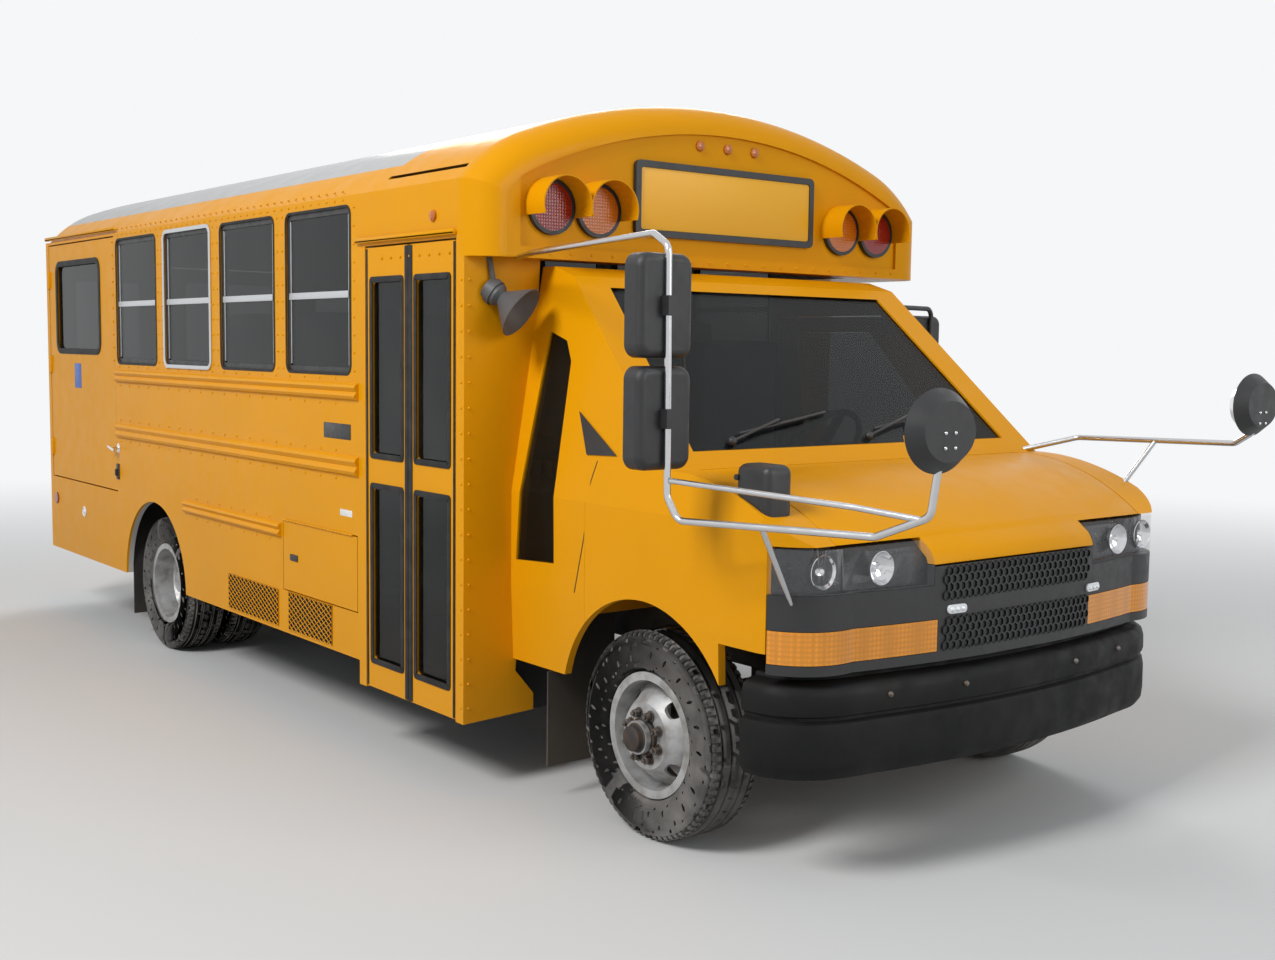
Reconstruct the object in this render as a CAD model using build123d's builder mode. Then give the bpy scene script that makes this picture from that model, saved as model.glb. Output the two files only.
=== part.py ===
from build123d import *
import os
from math import cos, radians, sin, tan

os.makedirs("parts", exist_ok=True)

# Short school bus on a van cutaway chassis. Millimetres, +X forward, +Y left, +Z up.
# The origin is on the ground, on the centreline, at mid-length over the mirrors and rear bumper.

# ---- chassis ----
FRONT_AXLE_X = 2290
WHEELBASE = 4039
REAR_AXLE_X = FRONT_AXLE_X - WHEELBASE
TYRE_RADIUS = 367
TYRE_WIDTH = 223
RIM_RADIUS = 203
RIM_FLANGE_RADIUS = 220
RIM_WIDTH = 178
FRONT_TRACK = 1748
REAR_TRACK = 1869
DUAL_SPACING = 254
KINGPIN_Y = 790
RAIL_OUTER_Y = 432
RAIL_WIDTH = 64
RAIL_BOTTOM_Z = 530
RAIL_TOP_Z = 690
AXLE_Z = TYRE_RADIUS

# ---- bus body ----
BODY_HALF_WIDTH = 1219
WALL = 40
BODY_REAR_X = FRONT_AXLE_X - 5888
BODY_FRONT_X = FRONT_AXLE_X - 800
CAP_FRONT_X = FRONT_AXLE_X - 713
CAP_REAR_X = FRONT_AXLE_X - 1450
CAP_LOWER_REAR_X = FRONT_AXLE_X - 852
SKIRT_Z = 372
STEP_SKIRT_Z = 270
FLOOR_TOP_Z = 800
FLOOR_THICKNESS = 50
EAVE_Z = 2316
ROOF_TOP_Z = 2690
CAP_BOTTOM_Z = 2031
PANEL_GAP = 6
DOOR_GAP = 8

# ---- openings in the right wall ----
WINDOW_PITCH = 750
WINDOW_WIDTH = 620
WINDOW_BOTTOM_Z = 1577
WINDOW_TOP_Z = 2272
WINDOW_RADIUS = 30
FRONT_WINDOW_EDGE_X = FRONT_AXLE_X - 1701
LIFT_DOOR_REAR_X = BODY_REAR_X + 50
LIFT_DOOR_WIDTH = 1225
LIFT_DOOR_BOTTOM_Z = 830
LIFT_DOOR_TOP_Z = 2300
ENTRY_REAR_X = FRONT_AXLE_X - 1572
ENTRY_FRONT_X = FRONT_AXLE_X - 856
ENTRY_BOTTOM_Z = STEP_SKIRT_Z + 8
ENTRY_TOP_Z = 2100
LEAF_SEAL = 18
BATTERY_DOOR_REAR_X = FRONT_AXLE_X - 2380
BATTERY_DOOR_WIDTH = 734
BATTERY_DOOR_BOTTOM_Z = 568
BATTERY_DOOR_TOP_Z = 898
ARCH_RADIUS = 455

# ---- van cab ----
CAB_HALF_WIDTH = 1006
CAB_TOP_HALF_WIDTH = 850
CAB_SHELL = 30
NOSE_X = FRONT_AXLE_X + 800
BUMPER_FRONT_X = FRONT_AXLE_X + 850
COWL_X = FRONT_AXLE_X + 130
COWL_Z = 1295
HOOD_FRONT_Z = 1045
CAB_ROOF_Z = 2005
CAB_FLOOR_Z = 720
CAB_REAR_LEFT_X = FRONT_AXLE_X - 1300
FRONT_ARCH_RADIUS = 475


def block(x, y, z, mode=Mode.ADD):
    """A box from three (low, high) pairs."""
    with Locations(((x[0] + x[1]) / 2, (y[0] + y[1]) / 2, (z[0] + z[1]) / 2)):
        Box(x[1] - x[0], y[1] - y[0], z[1] - z[0], mode=mode)


def side_plane(y):
    """The XZ plane at the given y, looking from the right; sketch x is X and sketch y is Z."""
    return Plane(origin=(0, y, 0), x_dir=(1, 0, 0), z_dir=(0, -1, 0))


def save(builder, label):
    """Name a finished sub-part and write it as one STEP file."""
    builder.part.label = label
    export_step(builder.part, f"parts/{label}.step")
    print(label, len(builder.part.solids()))


# ======================= chassis =======================

CROSSMEMBER_XS = (FRONT_AXLE_X + 560, FRONT_AXLE_X - 700, FRONT_AXLE_X - 1900, REAR_AXLE_X + 620,
                  REAR_AXLE_X - 620, BODY_REAR_X + 120)
CROSSMEMBER_LENGTH = 80
with BuildPart() as chassis_frame:
    for side in (-1, 1):
        rail_y = sorted((side * RAIL_OUTER_Y, side * (RAIL_OUTER_Y - RAIL_WIDTH)))
        block((BODY_REAR_X + 40, FRONT_AXLE_X + 640), rail_y, (RAIL_BOTTOM_Z, RAIL_TOP_Z))
    for x in CROSSMEMBER_XS:
        block((x - CROSSMEMBER_LENGTH / 2, x + CROSSMEMBER_LENGTH / 2),
              (-RAIL_OUTER_Y + RAIL_WIDTH, RAIL_OUTER_Y - RAIL_WIDTH), (RAIL_BOTTOM_Z + 30, RAIL_TOP_Z - 30))
save(chassis_frame, "chassis_frame")

ENGINE_X = (FRONT_AXLE_X - 420, FRONT_AXLE_X + 480)
with BuildPart() as engine_block:
    block(ENGINE_X, (-300, 300), (470, 1080))
    fillet(engine_block.edges().filter_by(Axis.X), 60)
save(engine_block, "engine_block")

# Front crossmember and control arms; rear leaf springs under the rails.
ARM_HALF_LENGTH = 30
ARM_TIP_Y = KINGPIN_Y + 22
KINGPIN_RADIUS = 15
KINGPIN_Z = (255, 500)
SPRING_Y = 520
SPRING_WIDTH = 76
SPRING_HALF_LENGTH = 650
with BuildPart() as suspension:
    block((FRONT_AXLE_X - 90, FRONT_AXLE_X + 90), (-360, 360), (300, 420))
    for side in (-1, 1):
        for z in ((255, 285), (470, 500)):
            arm_y = sorted((side * 360, side * ARM_TIP_Y))
            block((FRONT_AXLE_X - ARM_HALF_LENGTH, FRONT_AXLE_X + ARM_HALF_LENGTH), arm_y, z)
        with Locations((FRONT_AXLE_X, side * KINGPIN_Y, sum(KINGPIN_Z) / 2)):
            Cylinder(KINGPIN_RADIUS, KINGPIN_Z[1] - KINGPIN_Z[0])
        block((FRONT_AXLE_X - 90, FRONT_AXLE_X + 90), sorted((side * 330, side * 400)), (250, 530))
        spring_y = sorted((side * (SPRING_Y - SPRING_WIDTH / 2), side * (SPRING_Y + SPRING_WIDTH / 2)))
        with BuildSketch(side_plane(spring_y[1])):
            with BuildLine():
                arch = ThreePointArc((REAR_AXLE_X - SPRING_HALF_LENGTH, 520), (REAR_AXLE_X, 445),
                                     (REAR_AXLE_X + SPRING_HALF_LENGTH, 520))
                offset_arch = ThreePointArc((REAR_AXLE_X + SPRING_HALF_LENGTH, 545), (REAR_AXLE_X, 495),
                                            (REAR_AXLE_X - SPRING_HALF_LENGTH, 545))
                Line(arch @ 1, offset_arch @ 0)
                Line(offset_arch @ 1, arch @ 0)
            make_face()
        extrude(amount=SPRING_WIDTH)
        for end in (-1, 1):
            hanger_x = REAR_AXLE_X + end * (SPRING_HALF_LENGTH - 40)
            block((hanger_x - 35, hanger_x + 35), sorted((side * RAIL_OUTER_Y, side * (SPRING_Y + 38))), (540, 640))
save(suspension, "suspension")

# ======================= wheels, hubs and axles =======================

HUB_RADIUS = 58
HUB_CLEARANCE = 0.3
SPINDLE_RADIUS = 30
SPINDLE_CLEARANCE = 0.05
DISC_THICKNESS = 9
HAND_HOLE_CIRCLE = 150
HAND_HOLE_COUNT = 4


def tyre_section(x, y):
    """Half-section of one tyre, to turn about the wheel's Y axis."""
    half = TYRE_WIDTH / 2
    bead = RIM_WIDTH / 2 - 16
    inner = AXLE_Z + RIM_RADIUS + 1
    over_flange = AXLE_Z + RIM_FLANGE_RADIUS + 3
    flank = AXLE_Z + RIM_FLANGE_RADIUS + 18
    bulge = AXLE_Z + 0.5 * (RIM_RADIUS + TYRE_RADIUS)
    shoulder = AXLE_Z + TYRE_RADIUS - 28
    crown = AXLE_Z + TYRE_RADIUS
    with BuildSketch(Plane.YZ.offset(x)) as section:
        with BuildLine():
            Polyline((y, inner), (y - bead, inner), (y - bead, over_flange), (y - half + 8, flank))
            ThreePointArc((y - half + 8, flank), (y - half, bulge), (y - half + 10, shoulder))
            ThreePointArc((y - half + 10, shoulder), (y - half + 16, crown - 11), (y - half + 32, crown - 4))
            ThreePointArc((y - half + 32, crown - 4), (y, crown), (y + half - 32, crown - 4))
            ThreePointArc((y + half - 32, crown - 4), (y + half - 16, crown - 11), (y + half - 10, shoulder))
            ThreePointArc((y + half - 10, shoulder), (y + half, bulge), (y + half - 8, flank))
            Polyline((y + half - 8, flank), (y + bead, over_flange), (y + bead, inner), (y, inner))
        make_face()
    return section.sketch


def rim_section(x, y, side, face):
    """Half-section of one pressed steel wheel; face is how far the hub face stands outboard."""
    half = RIM_WIDTH / 2
    root = half * 0.25 if face > 0 else -half * 0.25
    step = DISC_THICKNESS if face > 0 else -DISC_THICKNESS
    points = [(-half, RIM_FLANGE_RADIUS), (-half, RIM_RADIUS - 12), (-half + 30, RIM_RADIUS - 16),
              (root - step, RIM_RADIUS - 22), (face - step, 112), (face - step, HUB_RADIUS + HUB_CLEARANCE),
              (face, HUB_RADIUS + HUB_CLEARANCE), (face, 116), (root, RIM_RADIUS - 20),
              (half - 30, RIM_RADIUS - 16), (half, RIM_RADIUS - 12), (half, RIM_FLANGE_RADIUS),
              (half - 8, RIM_FLANGE_RADIUS), (half - 14, RIM_RADIUS), (-half + 14, RIM_RADIUS),
              (-half + 8, RIM_FLANGE_RADIUS)]
    if face < 0:
        points[3], points[8] = points[8], points[3]
        points[4], points[7] = points[7], points[4]
        points[5], points[6] = points[6], points[5]
    with BuildSketch(Plane.YZ.offset(x)) as section:
        with BuildLine():
            Polyline(*[(y + side * u, AXLE_Z + r) for u, r in points], close=True)
        make_face()
    return section.sketch


def wheel_axis(x):
    return Axis((x, 0, AXLE_Z), (0, 1, 0))


def hand_holes(x, y):
    """Oval hand holes round the wheel's axis."""
    with BuildSketch(Plane(origin=(x, y, AXLE_Z), x_dir=(1, 0, 0), z_dir=(0, -1, 0))) as holes:
        with PolarLocations(HAND_HOLE_CIRCLE, HAND_HOLE_COUNT, start_angle=45):
            SlotOverall(62, 40, rotation=90)
    return holes.sketch


def disc(x, y, z, radius, side):
    """A round face at a point, looking outboard."""
    with BuildSketch(Plane(origin=(x, y, z), x_dir=(1, 0, 0), z_dir=(0, side, 0))) as face:
        Circle(radius)
    return face.sketch


FRONT_FACE = 104
FRONT_WHEEL_Y = FRONT_TRACK / 2
for name, side in (("left", 1), ("right", -1)):
    y = side * FRONT_WHEEL_Y
    with BuildPart() as front_tyre:
        revolve(tyre_section(FRONT_AXLE_X, y), axis=wheel_axis(FRONT_AXLE_X))
    save(front_tyre, f"front_tyre_{name}")

    # Outset disc wheel with its hub and cap.
    with BuildPart() as front_rim:
        revolve(rim_section(FRONT_AXLE_X, y, side, FRONT_FACE), axis=wheel_axis(FRONT_AXLE_X))
        extrude(hand_holes(FRONT_AXLE_X, y), amount=RIM_WIDTH * 0.9, both=True, mode=Mode.SUBTRACT)
        hub_start = y - side * 30
        extrude(disc(FRONT_AXLE_X, hub_start, AXLE_Z, HUB_RADIUS + HUB_CLEARANCE, side), amount=FRONT_FACE + 70)
        extrude(disc(FRONT_AXLE_X, hub_start, AXLE_Z, SPINDLE_RADIUS + SPINDLE_CLEARANCE, side), amount=100,
                mode=Mode.SUBTRACT)
    save(front_rim, f"front_rim_{name}")

    # Upright with its spindle, which turns on the ball joints.
    with BuildPart() as knuckle:
        inner_y = side * (KINGPIN_Y - 32)
        block((FRONT_AXLE_X - 50, FRONT_AXLE_X + 50), sorted((inner_y, side * (KINGPIN_Y + 32))), (291, 464))
        spindle_y = KINGPIN_Y + 30
        extrude(disc(FRONT_AXLE_X, side * spindle_y, AXLE_Z, SPINDLE_RADIUS, side),
                amount=FRONT_WHEEL_Y + 60 - spindle_y)
        block((FRONT_AXLE_X - 150, FRONT_AXLE_X - 50), sorted((inner_y, inner_y + side * 25)), (330, 360))
        with Locations((FRONT_AXLE_X, side * KINGPIN_Y, sum(KINGPIN_Z) / 2)):
            Cylinder(KINGPIN_RADIUS + SPINDLE_CLEARANCE, KINGPIN_Z[1] - KINGPIN_Z[0], mode=Mode.SUBTRACT)
    save(knuckle, f"knuckle_{name}")

    middle_y = side * REAR_TRACK / 2
    with BuildPart() as rear_tyres:
        for place in (-1, 1):
            revolve(tyre_section(REAR_AXLE_X, middle_y + place * DUAL_SPACING / 2), axis=wheel_axis(REAR_AXLE_X))
    save(rear_tyres, f"rear_tyres_{name}")

    # Two inset discs bolted face to face on one hub.
    with BuildPart() as rear_rims:
        for place, facing in ((1, side), (-1, -side)):
            wheel_y = middle_y + place * side * DUAL_SPACING / 2
            revolve(rim_section(REAR_AXLE_X, wheel_y, facing, -DUAL_SPACING / 2), axis=wheel_axis(REAR_AXLE_X))
            extrude(hand_holes(REAR_AXLE_X, wheel_y), amount=RIM_WIDTH * 0.9, both=True, mode=Mode.SUBTRACT)
        hub_start = middle_y - side * 150
        extrude(disc(REAR_AXLE_X, hub_start, AXLE_Z, HUB_RADIUS + HUB_CLEARANCE, side), amount=300)
        extrude(disc(REAR_AXLE_X, hub_start, AXLE_Z, SPINDLE_RADIUS + SPINDLE_CLEARANCE, side), amount=180,
                mode=Mode.SUBTRACT)
    save(rear_rims, f"rear_rims_{name}")

DIFFERENTIAL_RADIUS = 165
AXLE_TUBE_RADIUS = 45
AXLE_TUBE_END_Y = REAR_TRACK / 2 - 160
with BuildPart() as rear_axle:
    extrude(disc(REAR_AXLE_X, -AXLE_TUBE_END_Y, AXLE_Z, AXLE_TUBE_RADIUS, 1), amount=2 * AXLE_TUBE_END_Y)
    extrude(disc(REAR_AXLE_X, -REAR_TRACK / 2, AXLE_Z, SPINDLE_RADIUS, 1), amount=REAR_TRACK)
    with Locations((REAR_AXLE_X, 0, AXLE_Z)):
        Sphere(DIFFERENTIAL_RADIUS)
    with BuildSketch(Plane(origin=(REAR_AXLE_X, 0, AXLE_Z + 20), x_dir=(0, 1, 0), z_dir=(1, 0, 0.045))):
        Circle(50)
    extrude(amount=WHEELBASE - 1000)
    for side in (-1, 1):
        block((REAR_AXLE_X - 50, REAR_AXLE_X + 50), sorted((side * (SPRING_Y - 30), side * (SPRING_Y + 30))),
              (AXLE_Z, 444))
save(rear_axle, "rear_axle")

# ======================= bus body =======================

WHEEL_BOX_CLEARANCE = 75
WHEEL_BOX_TOP_Z = FLOOR_TOP_Z + 90
WHEEL_BOX_INNER_Y = REAR_TRACK / 2 - DUAL_SPACING / 2 - TYRE_WIDTH / 2 - 40
WHEEL_BOX_SHEET = 8
FLOOR_FRONT_X = BODY_FRONT_X - WALL
FLOOR_HALF_WIDTH = BODY_HALF_WIDTH - WALL
STEP_DEPTH = 250
STEP_TOP_ZS = (STEP_SKIRT_Z + 40, 540)
wheel_box_x = (REAR_AXLE_X - TYRE_RADIUS - WHEEL_BOX_CLEARANCE, REAR_AXLE_X + TYRE_RADIUS + WHEEL_BOX_CLEARANCE)
entry_x = (ENTRY_REAR_X, ENTRY_FRONT_X)
cab_opening_x = (CAB_REAR_LEFT_X - WALL, FLOOR_FRONT_X)

# Plywood floor with wheel boxes and the sunk steps at the entry door.
with BuildPart() as floor:
    block((BODY_REAR_X + WALL, FLOOR_FRONT_X), (-FLOOR_HALF_WIDTH, FLOOR_HALF_WIDTH),
          (FLOOR_TOP_Z - FLOOR_THICKNESS, FLOOR_TOP_Z))
    block(cab_opening_x, (-150, FLOOR_HALF_WIDTH), (FLOOR_TOP_Z - FLOOR_THICKNESS, FLOOR_TOP_Z), mode=Mode.SUBTRACT)
    for side in (-1, 1):
        box_y = sorted((side * WHEEL_BOX_INNER_Y, side * FLOOR_HALF_WIDTH))
        inner_y = sorted((side * (WHEEL_BOX_INNER_Y + WHEEL_BOX_SHEET), side * FLOOR_HALF_WIDTH))
        block(wheel_box_x, box_y, (FLOOR_TOP_Z - FLOOR_THICKNESS, WHEEL_BOX_TOP_Z))
        block((wheel_box_x[0] + WHEEL_BOX_SHEET, wheel_box_x[1] - WHEEL_BOX_SHEET), inner_y,
              (FLOOR_TOP_Z - FLOOR_THICKNESS, WHEEL_BOX_TOP_Z - WHEEL_BOX_SHEET), mode=Mode.SUBTRACT)
    well_y = (-BODY_HALF_WIDTH + WALL, -BODY_HALF_WIDTH + WALL + 2 * STEP_DEPTH + 60)
    block(entry_x, well_y, (STEP_SKIRT_Z, FLOOR_TOP_Z))
    well_x = (entry_x[0] + 15, entry_x[1] - 15)
    block(well_x, (well_y[0], well_y[0] + STEP_DEPTH), (STEP_TOP_ZS[0], FLOOR_TOP_Z), mode=Mode.SUBTRACT)
    block(well_x, (well_y[0] + STEP_DEPTH, well_y[0] + 2 * STEP_DEPTH), (STEP_TOP_ZS[1], FLOOR_TOP_Z),
          mode=Mode.SUBTRACT)
    block((well_x[0], well_x[1]), (well_y[0] + STEP_DEPTH + 15, well_y[1] - 15), (STEP_SKIRT_Z, STEP_TOP_ZS[1] - 15),
          mode=Mode.SUBTRACT)
save(floor, "floor")

STOP_SIZE = 450
STOP_HINGE_X = CAB_REAR_LEFT_X - 180
STOP_Z = 1349
STOP_STANDOFF = 34
STOP_THICKNESS = 12

# Rub rails: height of the lower and upper edge, and how far each runs.
RAIL_DEPTH = 22
RUB_RAILS = (  # bottom z, top z, rear x, front x
    (1465, 1540, LIFT_DOOR_REAR_X + LIFT_DOOR_WIDTH + 20, ENTRY_REAR_X - 60),
    (1145, 1233, LIFT_DOOR_REAR_X + LIFT_DOOR_WIDTH + 20, ENTRY_REAR_X - 60),
    (809, 879, REAR_AXLE_X + ARCH_RADIUS + 10, BATTERY_DOOR_REAR_X - 15),
)
LEFT_RUB_RAILS = (  # bottom z, top z, rear x, front x
    (1465, 1540, BODY_REAR_X + 60, CAB_REAR_LEFT_X - 60),
    (1145, 1233, BODY_REAR_X + 60, CAB_REAR_LEFT_X - 60),
    (809, 879, REAR_AXLE_X + ARCH_RADIUS + 10, CAB_REAR_LEFT_X - 60),
)
RIGHT_WINDOW_XS = [FRONT_WINDOW_EDGE_X - WINDOW_WIDTH / 2 - i * WINDOW_PITCH for i in range(4)]
LEFT_WINDOW_XS = [FRONT_WINDOW_EDGE_X - WINDOW_WIDTH / 2 - i * WINDOW_PITCH for i in range(5)]
WINDOW_Z = (WINDOW_BOTTOM_Z + WINDOW_TOP_Z) / 2
WINDOW_HEIGHT = WINDOW_TOP_Z - WINDOW_BOTTOM_Z


def rub_rail(side, bottom, top, rear):
    """Section of a two-bead pressed rail standing off the wall on one side."""
    third = (top - bottom) / 3
    outline = ((-1, bottom), (RAIL_DEPTH * 0.7, bottom + third * 0.35), (RAIL_DEPTH, bottom + third * 0.8),
               (RAIL_DEPTH * 0.45, bottom + 1.5 * third), (RAIL_DEPTH, top - third * 0.8),
               (RAIL_DEPTH * 0.7, top - third * 0.35), (-1, top))
    with BuildSketch(Plane.YZ.offset(rear)) as section:
        with BuildLine():
            Polyline(*[(side * (BODY_HALF_WIDTH + out), z) for out, z in outline], close=True)
        make_face()
    return section.sketch


with BuildPart() as right_side_wall:
    wall_y = (-BODY_HALF_WIDTH, -BODY_HALF_WIDTH + WALL)
    block((BODY_REAR_X, BODY_FRONT_X - WALL), wall_y, (SKIRT_Z, EAVE_Z))
    block((ENTRY_REAR_X - 60, BODY_FRONT_X - WALL), wall_y, (STEP_SKIRT_Z, SKIRT_Z))
    block((CAP_LOWER_REAR_X, BODY_FRONT_X), wall_y, (CAP_BOTTOM_Z, EAVE_Z), mode=Mode.SUBTRACT)
    with BuildSketch(side_plane(wall_y[1])):
        with Locations(*[(x, WINDOW_Z) for x in RIGHT_WINDOW_XS]):
            RectangleRounded(WINDOW_WIDTH, WINDOW_HEIGHT, WINDOW_RADIUS)
        with Locations((REAR_AXLE_X, AXLE_Z)):
            Circle(ARCH_RADIUS)
    extrude(amount=WALL, mode=Mode.SUBTRACT)
    block((LIFT_DOOR_REAR_X, LIFT_DOOR_REAR_X + LIFT_DOOR_WIDTH), wall_y, (LIFT_DOOR_BOTTOM_Z, LIFT_DOOR_TOP_Z),
          mode=Mode.SUBTRACT)
    block((ENTRY_REAR_X, ENTRY_FRONT_X), wall_y, (STEP_SKIRT_Z, ENTRY_TOP_Z), mode=Mode.SUBTRACT)
    block((BATTERY_DOOR_REAR_X, BATTERY_DOOR_REAR_X + BATTERY_DOOR_WIDTH), wall_y,
          (BATTERY_DOOR_BOTTOM_Z, BATTERY_DOOR_TOP_Z), mode=Mode.SUBTRACT)
    for bottom, top, rear, front in RUB_RAILS:
        extrude(rub_rail(-1, bottom, top, rear), amount=front - rear)
save(right_side_wall, "right_side_wall")

with BuildPart() as left_side_wall:
    wall_y = (BODY_HALF_WIDTH - WALL, BODY_HALF_WIDTH)
    block((BODY_REAR_X, CAB_REAR_LEFT_X - WALL), wall_y, (SKIRT_Z, EAVE_Z))
    block((CAB_REAR_LEFT_X - WALL, CAP_LOWER_REAR_X), wall_y, (CAP_BOTTOM_Z, EAVE_Z))
    block((CAB_REAR_LEFT_X - WALL, CAP_LOWER_REAR_X), (CAB_TOP_HALF_WIDTH, wall_y[1]),
          (CAP_BOTTOM_Z, CAP_BOTTOM_Z + 20))
    with BuildSketch(side_plane(wall_y[1])):
        with Locations(*[(x, WINDOW_Z) for x in LEFT_WINDOW_XS]):
            RectangleRounded(WINDOW_WIDTH, WINDOW_HEIGHT, WINDOW_RADIUS)
        with Locations((REAR_AXLE_X, AXLE_Z)):
            Circle(ARCH_RADIUS)
    extrude(amount=WALL, mode=Mode.SUBTRACT)
    for bottom, top, rear, front in LEFT_RUB_RAILS:
        extrude(rub_rail(1, bottom, top, rear), amount=front - rear)
    block((STOP_HINGE_X + 26, STOP_HINGE_X + 80), (BODY_HALF_WIDTH - 1, BODY_HALF_WIDTH + STOP_STANDOFF + STOP_THICKNESS),
          (STOP_Z - 110, STOP_Z + 110))
save(left_side_wall, "left_side_wall")

REAR_DOOR_WIDTH = 900
REAR_DOOR_BOTTOM_Z = FLOOR_TOP_Z + 10
REAR_DOOR_TOP_Z = 2200
REAR_DOOR_Y = (-REAR_DOOR_WIDTH / 2, REAR_DOOR_WIDTH / 2)
REAR_WINDOW_WIDTH = 460
REAR_WINDOW_Y = 840
REAR_WINDOW_TOP_Z = 2110
REAR_WINDOW_HEIGHT = REAR_WINDOW_TOP_Z - WINDOW_BOTTOM_Z
REAR_WINDOW_Z = WINDOW_BOTTOM_Z + REAR_WINDOW_HEIGHT / 2
REAR_LAMP_Z = 2290
CORNER_RADIUS = 90
# Roof section: a broad crown, then a tighter cove down to each eave.
CROWN_RADIUS = 2650
COVE_ANGLE = 21
ROOF_SHEET = 40


def roof_section(x, inset, bottom):
    """The closed end shape of the roof at one station, moved inwards all round by inset."""
    crown = CROWN_RADIUS - inset
    centre_z = ROOF_TOP_Z - CROWN_RADIUS
    half = BODY_HALF_WIDTH - inset
    shoulder_y = crown * sin(radians(COVE_ANGLE))
    shoulder_z = centre_z + crown * cos(radians(COVE_ANGLE))
    drop = [(half, bottom), (-half, bottom)] if bottom < EAVE_Z else []
    with BuildSketch(Plane.YZ.offset(x)) as section:
        with BuildLine():
            RadiusArc((-shoulder_y, shoulder_z), (shoulder_y, shoulder_z), crown)
            TangentArc((shoulder_y, shoulder_z), (half, EAVE_Z),
                       tangent=(cos(radians(COVE_ANGLE)), -sin(radians(COVE_ANGLE))))
            Polyline((half, EAVE_Z), *drop, (-half, EAVE_Z))
            TangentArc((-shoulder_y, shoulder_z), (-half, EAVE_Z),
                       tangent=(-cos(radians(COVE_ANGLE)), -sin(radians(COVE_ANGLE))))
        make_face()
    return section.sketch


REAR_CAP_ROUND = 110
with BuildPart() as roof:
    extrude(roof_section(BODY_REAR_X, 0, EAVE_Z), amount=CAP_REAR_X - BODY_REAR_X)
    rear_rim = roof.faces().sort_by(Axis.X)[0].edges().filter_by(GeomType.CIRCLE)
    fillet(rear_rim, REAR_CAP_ROUND)
    extrude(roof_section(BODY_REAR_X + ROOF_SHEET, ROOF_SHEET, EAVE_Z - 20), amount=CAP_REAR_X - BODY_REAR_X,
            mode=Mode.SUBTRACT)
save(roof, "roof")

# ---- front cap: a moulded box end with rounded corners, hooded lamps and a blank sign ----
CAP_ROUND = 130
CAP_SHEET = 40
CAP_FACE_RECESS = 14
CAP_FACE_HALF_WIDTH = 1030
CAP_FACE_BOTTOM_Z = 2075
CAP_FACE_SIDE_Z = 2330
CAP_FACE_TOP_Z = 2570
LAMP_RADIUS = 89
BEZEL_RADIUS = 104
BEZEL_DEPTH = 22
LAMP_DOME = 26
LAMP_Z = 2225
HOOD_SHEET = 5
HOOD_GAP = 3
HOOD_DEPTH = 125
REAR_HOOD_DEPTH = 38
HOOD_DROP = 35
LAMPS = (("red", 889), ("amber", 670))  # colour, distance from the centreline
SIGN_WIDTH = 980
SIGN_HEIGHT = 296
SIGN_Z = 2290
SIGN_DEPTH = 20
SIGN_BORDER = 26


def cap_form(inset):
    """The cap's outer form moved inwards all round, with its front edges rounded."""
    with BuildPart() as form:
        extrude(roof_section(CAP_REAR_X, inset, EAVE_Z), amount=CAP_LOWER_REAR_X - CAP_REAR_X)
        extrude(roof_section(CAP_LOWER_REAR_X, inset, CAP_BOTTOM_Z + inset / 2),
                amount=CAP_FRONT_X - inset - CAP_LOWER_REAR_X)
        front = form.faces().sort_by(Axis.X)[-1]
        bottom_edge = front.edges().sort_by(Axis.Z)[0]
        fillet([edge for edge in front.edges() if edge.center().Z > bottom_edge.center().Z + 1], CAP_ROUND - inset)
    return form.part


def facing_plane(x, y, z, facing):
    """A plane across the vehicle looking forward (1) or rearward (-1), with sketch y upwards."""
    return Plane(origin=(x, y, z), x_dir=(0, facing, 0), z_dir=(facing, 0, 0))


def lamp_hood(x, y, z, facing):
    """Ring section of the visor over a lamp, open towards the ground."""
    inner = BEZEL_RADIUS + HOOD_GAP
    with BuildSketch(facing_plane(x, y, z, facing)) as visor:
        Circle(inner + HOOD_SHEET)
        Circle(inner, mode=Mode.SUBTRACT)
        with Locations((0, -1.5 * inner - HOOD_DROP)):
            Rectangle(3 * inner, 3 * inner, mode=Mode.SUBTRACT)
    return visor.sketch


lamp_face_x = CAP_FRONT_X - CAP_FACE_RECESS
with BuildPart() as front_cap:
    add(cap_form(0))
    add(cap_form(CAP_SHEET), mode=Mode.SUBTRACT)
    block((CAP_REAR_X - 1, CAP_LOWER_REAR_X), (-BODY_HALF_WIDTH + WALL, BODY_HALF_WIDTH - WALL),
          (EAVE_Z - 60, EAVE_Z + 60), mode=Mode.SUBTRACT)
    with BuildSketch(Plane.YZ.offset(CAP_FRONT_X)):
        with BuildLine():
            Polyline((CAP_FACE_HALF_WIDTH, CAP_FACE_SIDE_Z), (CAP_FACE_HALF_WIDTH, CAP_FACE_BOTTOM_Z),
                     (-CAP_FACE_HALF_WIDTH, CAP_FACE_BOTTOM_Z), (-CAP_FACE_HALF_WIDTH, CAP_FACE_SIDE_Z))
            ThreePointArc((-CAP_FACE_HALF_WIDTH, CAP_FACE_SIDE_Z), (0, CAP_FACE_TOP_Z),
                          (CAP_FACE_HALF_WIDTH, CAP_FACE_SIDE_Z))
        make_face()
    extrude(amount=-CAP_FACE_RECESS, mode=Mode.SUBTRACT)
    for colour, lamp_y in LAMPS:
        for side in (-1, 1):
            extrude(lamp_hood(lamp_face_x, side * lamp_y, LAMP_Z, 1), amount=HOOD_DEPTH)
save(front_cap, "front_cap")

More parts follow.
